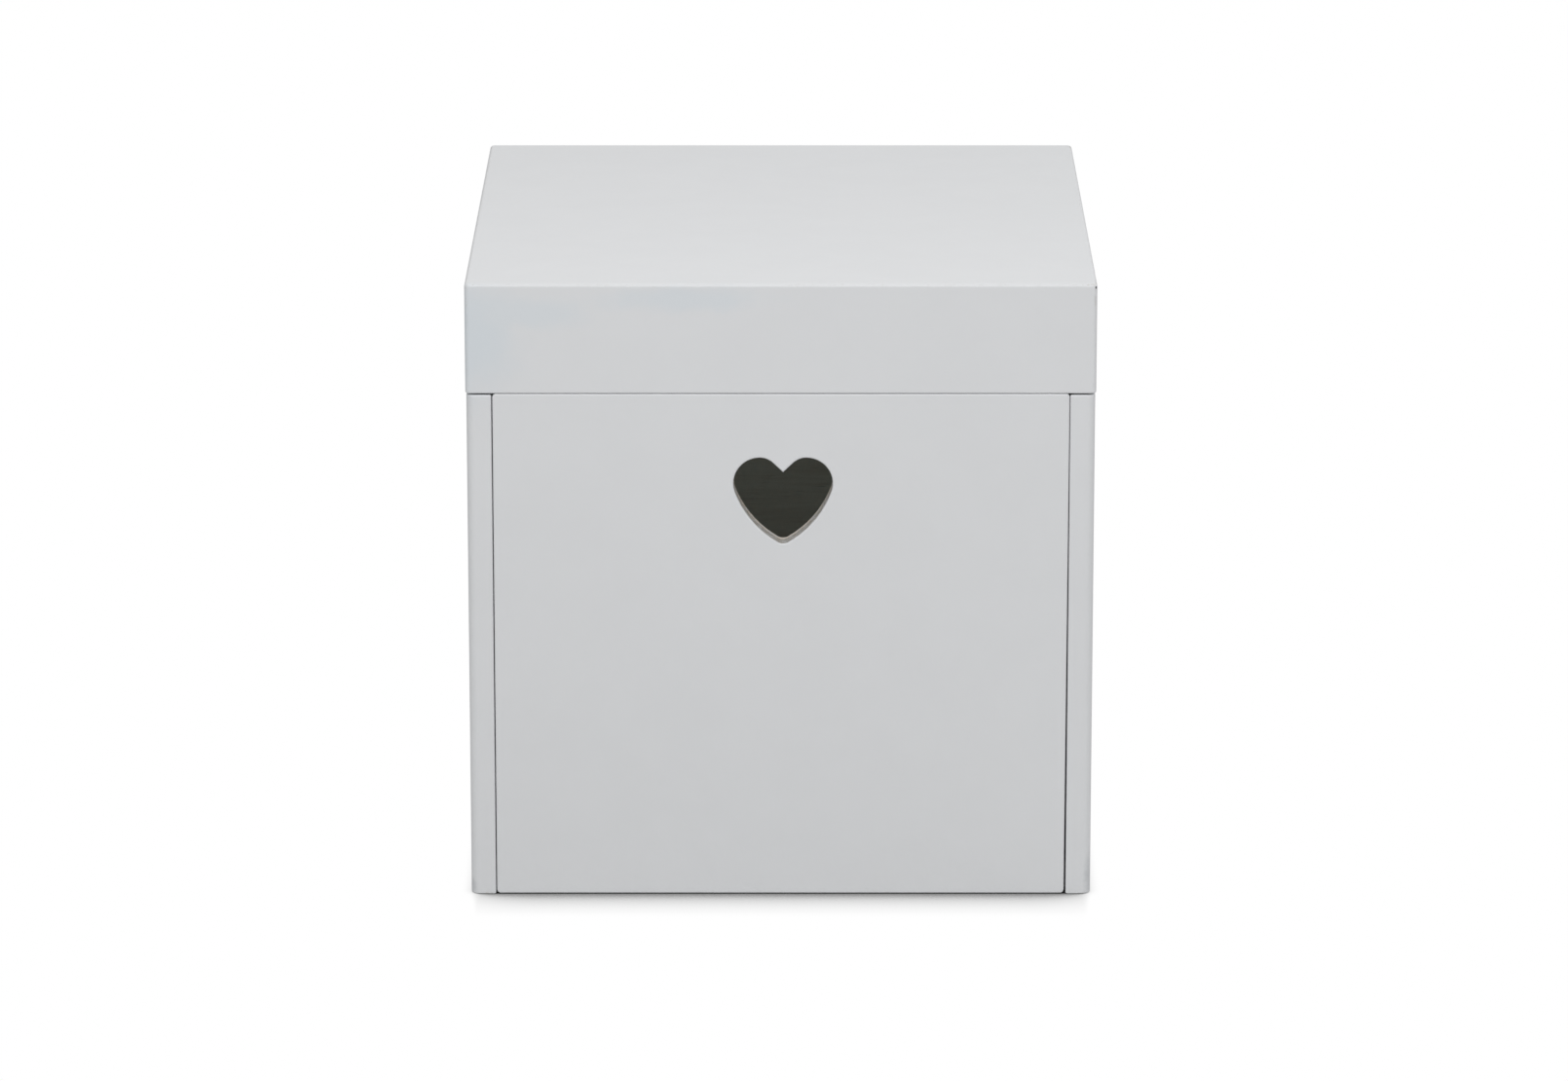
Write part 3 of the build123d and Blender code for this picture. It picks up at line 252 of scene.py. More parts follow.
class StageSettings(bpy.types.PropertyGroup):
    """Floor, lights and camera."""

    camera_place: FloatVectorProperty(
        name="Camera", description="Where the camera stands", subtype="TRANSLATION",
        default=(0.00077, -1.79047, 0.53429),
    )
    camera_pitch: FloatProperty(
        name="Pitch", description="How far the camera looks down", subtype="ANGLE",
        default=math.radians(14.6264),
    )
    lens: FloatProperty(name="Lens", description="Focal length", unit="CAMERA", default=169.27)
    sensor: FloatProperty(name="Sensor", description="Width of the sensor", unit="CAMERA", default=36.0)
    floor_colour: FloatVectorProperty(
        name="Floor", description="Pale floor", subtype="COLOR", min=0, max=1,
        default=(0.665, 0.665, 0.665),
    )
    floor_size: FloatProperty(name="Floor Size", description="Side of the floor", unit="LENGTH", default=30.0)
    front_shadow: FloatProperty(
        name="Front Shadow", description="How far the soft shadow reaches before and behind the case",
        unit="LENGTH", default=19.5 * MM,
    )
    side_shadow: FloatProperty(
        name="Side Shadow", description="How far the contact shadow reaches beside the case", unit="LENGTH",
        default=3 * MM,
    )
    sky: FloatProperty(name="Sky", description="Even light from all round", min=0, default=0.505)
    key_power: FloatProperty(name="Key", description="Soft light over the front", unit="POWER", default=4.0)
    key_place: FloatVectorProperty(
        name="Key Place", description="Where the key light hangs", subtype="TRANSLATION",
        default=(0.0, -0.62, 0.78),
    )
    key_size: FloatProperty(name="Key Size", description="Side of the key light", unit="LENGTH", default=0.7)
    top_power: FloatProperty(
        name="Top", description="Soft light above and behind", unit="POWER", default=2.75,
    )
    top_place: FloatVectorProperty(
        name="Top Place", description="Where the top light hangs", subtype="TRANSLATION",
        default=(0.1, 1.1, 1.2),
    )
    top_size: FloatProperty(name="Top Size", description="Side of the top light", unit="LENGTH", default=1.6)
    fill_power: FloatProperty(
        name="Fill", description="Soft light behind and to the right", unit="POWER", default=6.0,
    )
    fill_place: FloatVectorProperty(
        name="Fill Place", description="Where the fill light hangs", subtype="TRANSLATION",
        default=(1.2, 1.1, 1.2),
    )
    fill_size: FloatProperty(
        name="Fill Size", description="Side of the fill light", unit="LENGTH", default=1.2,
    )
    inner_power: FloatProperty(
        name="Inside", description="Faint light under the deck, seen through the heart", unit="POWER",
        default=0.0108,
    )
    inner_colour: FloatVectorProperty(
        name="Inside Colour", description="Tone of the faint light under the deck", subtype="COLOR",
        min=0, max=1, default=(0.465, 0.71, 0.94),
    )


SETTINGS = {
    "box_paint": PaintSettings,
    "box_bare_board": BareBoardSettings,
    "box_felt": FeltSettings,
    "box_metal": MetalSettings,
    "box_spring": SpringSettings,
    "box_stage": StageSettings,
}


# Node helpers

def feed(tree, target, value):
    """Links a socket to an input, or sets the input to a plain value."""
    if isinstance(value, bpy.types.NodeSocket):
        tree.links.new(value, target)
    else:
        target.default_value = value


def put(tree, kind, inputs=None, **settings):
    """Adds a node, sets it up and feeds its inputs."""
    made = tree.nodes.new("ShaderNode" + kind)
    for key, value in settings.items():
        setattr(made, key, value)
    for key, value in (inputs or {}).items():
        feed(tree, made.inputs[key], value)
    return made


def calc(tree, operation, first, second=0.0, third=0.0, clamp=False):
    """Maths on values."""
    values = {0: first, 1: second, 2: third}
    return put(tree, "Math", values, operation=operation, use_clamp=clamp).outputs[0]


def vector(tree, operation, *points, result="Vector"):
    """Maths on points; lengths, distances and dot products come out as the result Value."""
    return put(tree, "VectorMath", dict(enumerate(points)), operation=operation).outputs[result]


def ramp(tree, value, low, high, to_low=0.0, to_high=1.0):
    """Smooth step of a value from one range to another."""
    inputs = {"Value": value, "From Min": low, "From Max": high, "To Min": to_low, "To Max": to_high}
    return put(tree, "MapRange", inputs, interpolation_type="SMOOTHSTEP").outputs["Result"]


def around(tree, value, middle, spread):
    """Number that varies round its middle with a value from nought to one."""
    return calc(tree, "MULTIPLY_ADD", value, spread, middle - spread / 2)


def noise(tree, point, scale, detail=2.0, roughness=0.5):
    """Cloudy value; the scale is in cells to the metre."""
    inputs = {"Vector": point, "Scale": scale, "Detail": detail, "Roughness": roughness}
    return put(tree, "TexNoise", inputs).outputs["Fac"]


def size_to_scale(tree, size):
    """Scale of a texture whose cells have a given size."""
    return calc(tree, "DIVIDE", 1.0, size)


def blend_colour(tree, share, first, second):
    """Mixes two colours, each a socket or three plain numbers."""
    made = put(tree, "Mix", {"Factor": share}, data_type="RGBA")
    for index, colour in ((6, first), (7, second)):
        linked = isinstance(colour, bpy.types.NodeSocket)
        feed(tree, made.inputs[index], colour if linked else (*colour, 1))
    return made.outputs[2]


def toned(colour, share):
    """Plain colour made darker or lighter."""
    return tuple(min(1.0, share * channel) for channel in colour)


SOCKETS = {"vector": "NodeSocketVector", "value": "NodeSocketFloat"}


def start_group(name, inputs, outputs):
    """Empty node group with named sockets; returns its tree, its input sockets and its output node."""
    tree = bpy.data.node_groups.new(name, "ShaderNodeTree")
    for socket_name, kind in inputs.items():
        tree.interface.new_socket(socket_name, in_out="INPUT", socket_type=SOCKETS[kind])
    for socket_name in outputs:
        tree.interface.new_socket(socket_name, in_out="OUTPUT", socket_type=SOCKETS["value"])
    entry = tree.nodes.new("NodeGroupInput")
    ending = tree.nodes.new("NodeGroupOutput")
    return tree, entry.outputs, ending


def end_group(tree, ending, results):
    """Links a group's results to its output node."""
    for socket_name, socket in results.items():
        tree.links.new(socket, ending.inputs[socket_name])
    return tree


# Shared effects

def paint_film():
    """Sprayed paint: broad mottle, fine orange peel, upright streaks and a few dust nibs under the film."""
    inputs = {"Point": "vector", "Peel Size": "value"}
    tree, given, ending = start_group("Paint Film", inputs, ["Mottle", "Gloss", "Height"])
    point = given["Point"]
    mottle_scale, streak_scale, nib_scale = 60.0, 900.0, 95.0
    upright = (1.0, 1.0, 0.05)
    peel = noise(tree, point, size_to_scale(tree, given["Peel Size"]), roughness=0.45)
    mottle = noise(tree, point, mottle_scale, detail=3.0, roughness=0.6)
    streak = noise(tree, vector(tree, "MULTIPLY", point, upright), streak_scale, detail=1.0)
    spots = put(tree, "TexVoronoi", {"Vector": point, "Scale": nib_scale}).outputs["Distance"]
    nib = ramp(tree, spots, 0.05, 0.0)
    height = calc(tree, "ADD", peel, calc(tree, "MULTIPLY", streak, 0.25))
    results = {
        "Mottle": ramp(tree, mottle, 0.3, 0.7),
        "Gloss": calc(tree, "MULTIPLY_ADD", peel, 0.5, calc(tree, "MULTIPLY", mottle, 0.5)),
        "Height": calc(tree, "MULTIPLY_ADD", nib, 1.4, height),
    }
    return end_group(tree, ending, results)


def rim_rub():
    """Mask along the outer edges of a box, ragged as rubbed paint is, and a mask round its corners."""
    inputs = {"Point": "vector", "Middle": "vector", "Half": "vector", "Width": "value"}
    tree, given, ending = start_group("Rim Rub", inputs, ["Mask", "Corner"])
    off = vector(tree, "SUBTRACT", given["Point"], given["Middle"])
    inset = vector(tree, "SUBTRACT", given["Half"], vector(tree, "ABSOLUTE", off))
    x, y, z = put(tree, "SeparateXYZ", {0: inset}).outputs
    # Of the three insets the middle one is the way to the nearest edge, and the largest to a corner
    low = calc(tree, "MINIMUM", x, y)
    high = calc(tree, "MAXIMUM", x, y)
    from_edge = calc(tree, "MAXIMUM", low, calc(tree, "MINIMUM", high, z))
    from_corner = calc(tree, "MAXIMUM", high, z)
    grit_scale, tiny = 420.0, 1e-6
    grit = noise(tree, given["Point"], grit_scale, detail=4.0, roughness=0.7)
    ragged = calc(tree, "MULTIPLY", given["Width"], ramp(tree, grit, 0.42, 0.72))
    share = calc(tree, "DIVIDE", from_edge, calc(tree, "ADD", ragged, tiny))
    results = {
        "Mask": ramp(tree, share, 1.0, 0.3),
        "Corner": ramp(tree, from_corner, 9 * MM, 1 * MM),
    }
    return end_group(tree, ending, results)


def soft_patch():
    """Mask round one place, with a soft broken outline."""
    inputs = {
        "Point": "vector", "Place": "vector", "Reach": "vector", "Break Size": "value", "Break": "value",
    }
    tree, given, ending = start_group("Soft Patch", inputs, ["Mask"])
    off = vector(tree, "SUBTRACT", given["Point"], given["Place"])
    away = vector(tree, "LENGTH", vector(tree, "DIVIDE", off, given["Reach"]), result="Value")
    cloud = noise(tree, given["Point"], size_to_scale(tree, given["Break Size"]), detail=3.0, roughness=0.6)
    ragged = calc(tree, "MULTIPLY_ADD", calc(tree, "SUBTRACT", cloud, 0.5), given["Break"], away)
    return end_group(tree, ending, {"Mask": ramp(tree, ragged, 1.0, 0.25)})


def board_grain():
    """Long grain with pores; Stretch makes it run along one axis."""
    inputs = {"Point": "vector", "Stretch": "vector", "Width": "value"}
    tree, given, ending = start_group("Board Grain", inputs, ["Grain", "Pore", "Height"])
    drawn = vector(tree, "MULTIPLY", given["Point"], given["Stretch"])
    scale = size_to_scale(tree, given["Width"])
    warp = noise(tree, drawn, calc(tree, "MULTIPLY", scale, 0.3))
    bend = (4 * MM, 4 * MM, 4 * MM)
    bent = vector(tree, "MULTIPLY_ADD", warp, bend, drawn)
    lines = noise(tree, bent, scale, detail=4.0, roughness=0.62)
    pores = noise(tree, drawn, calc(tree, "MULTIPLY", scale, 5.0))
    pore = ramp(tree, pores, 0.62, 0.74)
    results = {
        "Grain": ramp(tree, lines, 0.36, 0.68),
        "Pore": pore,
        "Height": calc(tree, "MULTIPLY_ADD", pore, -0.7, lines),
    }
    return end_group(tree, ending, results)


def metal_marks():
    """Fine drawn or turned marks and broad dull blotches."""
    inputs = {"Point": "vector", "Stretch": "vector", "Mark Size": "value", "Blotch Size": "value"}
    tree, given, ending = start_group("Metal Marks", inputs, ["Marks", "Blotch"])
    point = given["Point"]
    drawn = vector(tree, "MULTIPLY", point, given["Stretch"])
    marks = noise(tree, drawn, size_to_scale(tree, given["Mark Size"]), detail=3.0, roughness=0.7)
    blotch = noise(tree, point, size_to_scale(tree, given["Blotch Size"]), detail=3.0, roughness=0.55)
    results = {"Marks": marks, "Blotch": ramp(tree, blotch, 0.42, 0.68)}
    return end_group(tree, ending, results)


def edge_polish():
    """Mask on the edges of a piece, where handling keeps metal bright."""
    tree, given, ending = start_group("Edge Polish", {"Width": "value", "Point": "vector"}, ["Mask"])
    rounded = put(tree, "Bevel", {"Radius": given["Width"]}, samples=6).outputs[0]
    plain = put(tree, "NewGeometry").outputs["True Normal"]
    turn = vector(tree, "DOT_PRODUCT", rounded, plain, result="Value")
    grit_scale = 900.0
    grit = noise(tree, given["Point"], grit_scale, detail=3.0, roughness=0.6)
    edge = ramp(tree, turn, 0.97, 0.75)
    return end_group(tree, ending, {"Mask": calc(tree, "MULTIPLY", edge, ramp(tree, grit, 0.25, 0.6))})


def fine_grit():
    """Even grain of a cast, moulded or rubber face."""
    inputs = {"Point": "vector", "Grain Size": "value"}
    tree, given, ending = start_group("Fine Grit", inputs, ["Height", "Fleck"])
    scale = size_to_scale(tree, given["Grain Size"])
    grain = noise(tree, given["Point"], scale, detail=3.0, roughness=0.6)
    broad = noise(tree, given["Point"], calc(tree, "MULTIPLY", scale, 0.12))
    return end_group(tree, ending, {"Height": grain, "Fleck": ramp(tree, broad, 0.3, 0.7)})


def felt_nap():
    """Matted fibres: short crossing streaks in three directions and a soft broad variation."""
    tree, given, ending = start_group("Felt Nap", {"Point": "vector"}, ["Fibre", "Fleck", "Height"])
    point = given["Point"]
    fibre_scale, broad_scale = 5200.0, 140.0
    fibres = []
    for stretch in ((0.12, 1.0, 1.0), (1.0, 0.14, 1.0), (0.5, 0.5, 1.0)):
        drawn = vector(tree, "MULTIPLY", point, stretch)
        fibres.append(noise(tree, drawn, fibre_scale, detail=3.0, roughness=0.65))
    most = calc(tree, "MAXIMUM", calc(tree, "MAXIMUM", fibres[0], fibres[1]), fibres[2])
    broad = noise(tree, point, broad_scale, detail=3.0, roughness=0.6)
    results = {
        "Fibre": ramp(tree, most, 0.5, 0.75),
        "Fleck": calc(tree, "MULTIPLY", ramp(tree, most, 0.64, 0.76), ramp(tree, broad, 0.3, 0.7)),
        "Height": calc(tree, "MULTIPLY_ADD", broad, 0.6, most),
    }
    return end_group(tree, ending, results)


EFFECTS = {
    "Paint Film": paint_film,
    "Rim Rub": rim_rub,
    "Soft Patch": soft_patch,
    "Board Grain": board_grain,
    "Metal Marks": metal_marks,
    "Edge Polish": edge_polish,
    "Fine Grit": fine_grit,
    "Felt Nap": felt_nap,
}


def effect(tree, name, inputs):
    """Places a shared effect, which is built the first time it is asked for."""
    group = bpy.data.node_groups.get(name) or EFFECTS[name]()
    return put(tree, "Group", inputs, node_tree=group).outputs


# Finishes

def empty_tree(owner):
    """Node tree of a new material or world, with nothing in it."""
    owner.use_nodes = True
    owner.node_tree.nodes.clear()
    return owner.node_tree


def start_material(name, **values):
    """Material with one Principled shader; returns the material, its tree, its shader and its point."""
    material = bpy.data.materials.new(name)
    tree = empty_tree(material)
    shader = put(tree, "BsdfPrincipled", {key.replace("_", " "): value for key, value in values.items()})
    put(tree, "OutputMaterial", {"Surface": shader.outputs[0]})
    point = put(tree, "TexCoord").outputs["Object"]
    return material, tree, shader, point


def end_material(tree, shader, height, depth, **results):
    """Feeds a shader what varies over the surface, and its relief."""
    for key, socket in results.items():
        tree.links.new(socket, shader.inputs[key.replace("_", " ")])
    bump = put(tree, "Bump", {"Height": height, "Distance": depth, "Strength": 1.0})
    tree.links.new(bump.outputs["Normal"], shader.inputs["Normal"])


def give(names, material):
    """Puts a material on CAD nodes."""
    for name in names:
        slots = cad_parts[name].data.materials
        slots.clear()
        slots.append(material)


def box_mask(tree, point, low, high):
    """One inside a box and nought outside, with crisp sides."""
    above = vector(tree, "SUBTRACT", point, low)
    below = vector(tree, "SUBTRACT", high, point)
    x, y, z = put(tree, "SeparateXYZ", {0: vector(tree, "MINIMUM", above, below)}).outputs
    nearest = calc(tree, "MINIMUM", calc(tree, "MINIMUM", x, y), z)
    return calc(tree, "GREATER_THAN", nearest, 0.0)


def lose_flake(tree, point, chip, colour, roughness):
    """Takes a small ragged flake of paint off; returns the colour and the roughness with it gone."""
    place, radius = chip
    grit_scale, bare_roughness = 1500.0, 0.8
    grit = noise(tree, point, grit_scale)
    away = vector(tree, "DISTANCE", point, place, result="Value")
    ragged = calc(tree, "MULTIPLY_ADD", grit, 0.9 * radius, away)
    flake = ramp(tree, ragged, 1.25 * radius, 1.05 * radius)
    colour = blend_colour(tree, flake, colour, bpy.context.scene.box_paint.chip_colour)
    return colour, calc(tree, "MAXIMUM", roughness, calc(tree, "MULTIPLY", flake, bare_roughness))


def bare_wall(tree, point, cut_wall, colour, roughness, height):
    """Leaves the walls inside a box as fuzzy cut board, pale at the back as a painted highlight where light
    catches that edge; returns the colour, the roughness and the height.
    """
    paint = bpy.context.scene.box_paint
    low, high, highlight_from = cut_wall
    fuzz_scale, fuzz_rise, across_wall, bare_roughness = 700.0, 6.0, (1.0, 3.0, 1.0), 0.85
    fuzz = noise(tree, vector(tree, "MULTIPLY", point, across_wall), fuzz_scale, detail=4.0, roughness=0.7)
    patchy = calc(tree, "MULTIPLY", box_mask(tree, point, low, high), ramp(tree, fuzz, 0.34, 0.56))
    # Painted highlight: behind the given depth the wall is pale, as if light caught its back edge
    behind = calc(tree, "GREATER_THAN", put(tree, "SeparateXYZ", {0: point}).outputs["Y"], highlight_from)
    cut = blend_colour(tree, behind, paint.board_colour, paint.back_edge_highlight_colour)
    colour = blend_colour(tree, patchy, colour, cut)
    roughness = calc(tree, "MAXIMUM", roughness, calc(tree, "MULTIPLY", patchy, bare_roughness))
    height = calc(tree, "MULTIPLY_ADD", calc(tree, "MULTIPLY", patchy, fuzz), fuzz_rise, height)
    return colour, roughness, height


def paint_patch(corner, offset, reach, break_size, tone):
    """Soft patch off a corner of the box: where, how far and how broken, in millimetres, and its tone."""
    return corner + Vector(offset) * MM, Vector(reach) * MM, break_size * MM, tone


def satin_paint(name, patches=(), chip=None, cut_wall=None):
    """Satin white paint; patches tint it softly, a chip is a lost flake, and the walls inside the box
    cut_wall are bare board with a painted highlight along their back edge.
    """
    paint = bpy.context.scene.box_paint
    mottle_share, mottle_tone, gloss_spread = 0.35, 0.965, 0.16
    edge_rub, corner_rub, outline_break = 0.12, 0.5, 0.9
    material, tree, shader, point = start_material(name, Specular_IOR_Level=0.45)
    film = effect(tree, "Paint Film", {"Point": point, "Peel Size": paint.peel_size})
    rim = effect(tree, "Rim Rub", {
        "Point": point, "Middle": case_middle, "Half": case_half, "Width": paint.rub_width,
    })
    mottled = calc(tree, "MULTIPLY", film["Mottle"], mottle_share)
    white = blend_colour(tree, mottled, paint.colour, toned(paint.colour, mottle_tone))
    # Patches tint the paint: a painted cool reflection on the lid's front, grey patches at the front feet
    for place, reach, break_size, tone in patches:
        spot = effect(tree, "Soft Patch", {
            "Point": point, "Place": place, "Reach": reach, "Break Size": break_size, "Break": outline_break,
        })
        white = blend_colour(tree, spot["Mask"], white, tone)
    rub = calc(tree, "MULTIPLY_ADD", rim["Corner"], corner_rub, edge_rub)
    rubbed = calc(tree, "MULTIPLY", rim["Mask"], rub)
    colour = blend_colour(tree, rubbed, white, paint.primer_colour)
    roughness = around(tree, film["Gloss"], paint.roughness, gloss_spread)
    height = film["Height"]
    if chip:
        colour, roughness = lose_flake(tree, point, chip, colour, roughness)
    if cut_wall:
        colour, roughness, height = bare_wall(tree, point, cut_wall, colour, roughness, height)
    end_material(tree, shader, height, paint.peel_depth, Base_Color=colour, Roughness=roughness)
    return material


def bare_board(name, stretch):
    """Unpainted wood whose grain runs along the axis with the small stretch."""
    board = bpy.context.scene.box_bare_board
    pore_share, pore_tone, board_roughness, grain_gloss = 0.35, 0.5, 0.66, -0.12
    material, tree, shader, point = start_material(name, Specular_IOR_Level=0.3)
    grain = effect(tree, "Board Grain", {"Point": point, "Stretch": stretch, "Width": board.grain_width})
    wood = blend_colour(tree, grain["Grain"], board.pale_colour, board.dark_colour)
    pores = calc(tree, "MULTIPLY", grain["Pore"], pore_share)
    colour = blend_colour(tree, pores, wood, toned(board.dark_colour, pore_tone))
    roughness = around(tree, grain["Grain"], board_roughness, grain_gloss)
    end_material(tree, shader, grain["Height"], board.grain_depth, Base_Color=colour, Roughness=roughness)
    return material


def felt():
    """Dyed felt with paler fibres."""
    settings = bpy.context.scene.box_felt
    material, tree, shader, point = start_material(
        "dusty_rose_felt", Roughness=0.95, Specular_IOR_Level=0.15, Sheen_Weight=0.5, Sheen_Roughness=0.45,
        Sheen_Tint=(0.95, 0.75, 0.75, 1),
    )
    nap = effect(tree, "Felt Nap", {"Point": point})
    deep_tone = 0.72
    body = blend_colour(tree, nap["Fibre"], toned(settings.colour, deep_tone), settings.colour)
    colour = blend_colour(tree, nap["Fleck"], body, settings.fleck_colour)
    end_material(tree, shader, nap["Height"], settings.nap_depth, Base_Color=colour)
    return material


def worn_metal(
    name, clean, dull, stretch, roughness, mark_size=0.06 * MM, blotch_size=3.0 * MM, dulled=0.6,
):
    """Bare metal: drawn marks, dulled blotches and brighter edges."""
    edge_width, edge_share, edge_tone = 0.15 * MM, 0.7, 1.15
    mark_depth, mark_spread, dull_roughness = 0.006 * MM, 0.22, 0.18
    material, tree, shader, point = start_material(name, Metallic=1.0)
    marks = effect(tree, "Metal Marks", {
        "Point": point, "Stretch": stretch, "Mark Size": mark_size, "Blotch Size": blotch_size,
    })
    polish = effect(tree, "Edge Polish", {"Point": point, "Width": edge_width})["Mask"]
    blotch = calc(tree, "MULTIPLY", marks["Blotch"], dulled)
    hidden = calc(tree, "SUBTRACT", blotch, polish, clamp=True)
    body = blend_colour(tree, hidden, clean, dull)
    colour = blend_colour(tree, calc(tree, "MULTIPLY", polish, edge_share), body, toned(clean, edge_tone))
    marked = around(tree, marks["Marks"], roughness, mark_spread)
    rough = calc(tree, "MULTIPLY_ADD", hidden, dull_roughness, marked)
    end_material(tree, shader, marks["Marks"], mark_depth, Base_Color=colour, Roughness=rough)
    return material


def spring_steel():
    """Hardened steel, made once for the comb, the click and both springs."""
    metal = bpy.context.scene.box_metal
    ground = (1.0, 1.0, 0.12)
    return bpy.data.materials.get("spring_steel") or worn_metal(
        "spring_steel", metal.hard_steel, metal.straw, ground, roughness=0.32, mark_size=0.05 * MM,
        dulled=0.45,
    )


def gritty(name, colour, grain_size, depth, roughness, **values):
    """Cast, moulded or rubber face with an even fine grain."""
    edge_width, edge_share, edge_tone = 0.2 * MM, 0.5, 1.1
    fleck_tone, grain_spread = 0.82, 0.2
    material, tree, shader, point = start_material(name, **values)
    grit = effect(tree, "Fine Grit", {"Point": point, "Grain Size": grain_size})
    polish = effect(tree, "Edge Polish", {"Point": point, "Width": edge_width})["Mask"]
    body = blend_colour(tree, grit["Fleck"], toned(colour, fleck_tone), colour)
    worn = blend_colour(tree, calc(tree, "MULTIPLY", polish, edge_share), body, toned(colour, edge_tone))
    rough = around(tree, grit["Height"], roughness, grain_spread)
    end_material(tree, shader, grit["Height"], depth, Base_Color=worn, Roughness=rough)
    return material


# Meshes

def piece_from(name, vertices, faces, material):
    """New piece of the object with smooth faces."""
    mesh = bpy.data.meshes.new(name)
    mesh.from_pydata(vertices, [], faces)
    mesh.validate()
    mesh.polygons.foreach_set("use_smooth", [True] * len(mesh.polygons))
    mesh.materials.append(material)
    made = bpy.data.objects.new(name, mesh)
    bpy.context.scene.collection.objects.link(made)
    return made


def round_corner(x, y, half_x, half_y, radius):
    """Moves a point of a rectangle so that the rectangle's corners become round."""
    over_x = abs(x) - (half_x - radius)
    over_y = abs(y) - (half_y - radius)
    if radius <= 0 or over_x <= 0 or over_y <= 0:
        return x, y
    share = max(over_x, over_y) / math.hypot(over_x, over_y)
    new_x = half_x - radius + over_x * share
    new_y = half_y - radius + over_y * share
    return math.copysign(new_x, x), math.copysign(new_y, y)


def spaced(low, high, cell, edge):
    """Even steps from low to high, with one close step at each end."""
    count = max(2, round((high - low - 2 * edge) / cell))
    inner = [low + edge + (high - low - 2 * edge) * step / count for step in range(count + 1)]
    return [low, *inner, high]


def ripple_at(x, y, depth):
    """Slow rise and fall of felt that was laid by hand: waves in radians to the metre, none in step."""
    broad = math.sin(71 * x + 1.3) * math.sin(58 * y + 0.4)
    close = math.sin(231 * x + 190 * y) * math.sin(263 * y - 120 * x + 2.1)
    return depth * (0.65 * broad + 0.35 * close)


def felt_pad(name, node, corner_radius, material):
    """Felt laid in place of a CAD pad: soft cut edges and a face that isn't quite flat."""
    settings = bpy.context.scene.box_felt
    low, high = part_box(node)
    middle = (low + high) / 2
    half_x, half_y = (high.x - low.x) / 2, (high.y - low.y) / 2
    xs = spaced(-half_x, half_x, settings.cell, settings.rounding)
    ys = spaced(-half_y, half_y, settings.cell, settings.rounding)
    wide, deep = len(xs), len(ys)
    vertices, faces = [], []
    for level in (0, 1):
        for j, y in enumerate(ys):
            for i, x in enumerate(xs):
                round_x, round_y = round_corner(x, y, half_x, half_y, corner_radius)
                on_edge = i in (0, wide - 1) or j in (0, deep - 1)
                z = low.z
                if level and on_edge:
                    z = high.z - settings.rounding
                elif level:
                    z = high.z - settings.ripple + ripple_at(round_x, round_y, settings.ripple)
                vertices.append((middle.x + round_x, middle.y + round_y, z))

    def at(level, j, i):
        return (level * deep + j) * wide + i

    for j in range(deep - 1):
        for i in range(wide - 1):
            faces.append((at(1, j, i), at(1, j, i + 1), at(1, j + 1, i + 1), at(1, j + 1, i)))
            faces.append((at(0, j, i), at(0, j + 1, i), at(0, j + 1, i + 1), at(0, j, i + 1)))
    rim = [(0, i) for i in range(wide)] + [(j, wide - 1) for j in range(1, deep)]
    rim += [(deep - 1, i) for i in range(wide - 2, -1, -1)] + [(j, 0) for j in range(deep - 2, 0, -1)]
    for first, second in zip(rim, rim[1:] + rim[:1]):
        faces.append((at(0, *first), at(0, *second), at(1, *second), at(1, *first)))
    return piece_from(name, vertices, faces, material)


def coil(name, middle, low_z, high_z, radius, settings, material):
    """Compression spring as one tube, its end turns laid close."""
    wire = settings.wire / 2
    sides = settings.wire_sides
    steps = settings.turns * settings.turn_steps
    rise = high_z - low_z - 2 * wire
    # How fast the wire climbs: slowly in the closed turns, faster between them
    closed = settings.closed_turns / settings.turns
    slow = settings.close_pitch * settings.wire * settings.turns / rise
    fast = (1 - 2 * closed * slow) / (1 - 2 * closed)

    def height(share):
        """Wire's height along the coil, from nought to one."""
        if share < closed:
            return share * slow
        if share > 1 - closed:
            return 1 - (1 - share) * slow
        return closed * slow + (share - closed) * fast

    vertices, faces = [], []
    for step in range(steps + 1):
        share = step / steps
        angle = 2 * math.pi * settings.turns * share
        z = low_z + wire + rise * height(share)
        for side in range(sides):
            turn = 2 * math.pi * side / sides
            reach = radius + wire * math.cos(turn)
            x = middle.x + reach * math.cos(angle)
            y = middle.y + reach * math.sin(angle)
            vertices.append((x, y, z + wire * math.sin(turn)))
    for step in range(steps):
        for side in range(sides):
            after = (side + 1) % sides
            first, second = step * sides, (step + 1) * sides
            faces.append((first + side, second + side, second + after, first + after))
    faces.append(tuple(range(sides)))
    faces.append(tuple(steps * sides + side for side in reversed(range(sides))))
    return piece_from(name, vertices, faces, material)


# Stage

def by_ray(tree, bounced, seen):
    """One shader for light that bounces and another for what the eye sees."""
    to_eye = put(tree, "LightPath").outputs["Is Camera Ray"]
    return put(tree, "MixShader", {0: to_eye, 1: bounced, 2: seen}).outputs[0]


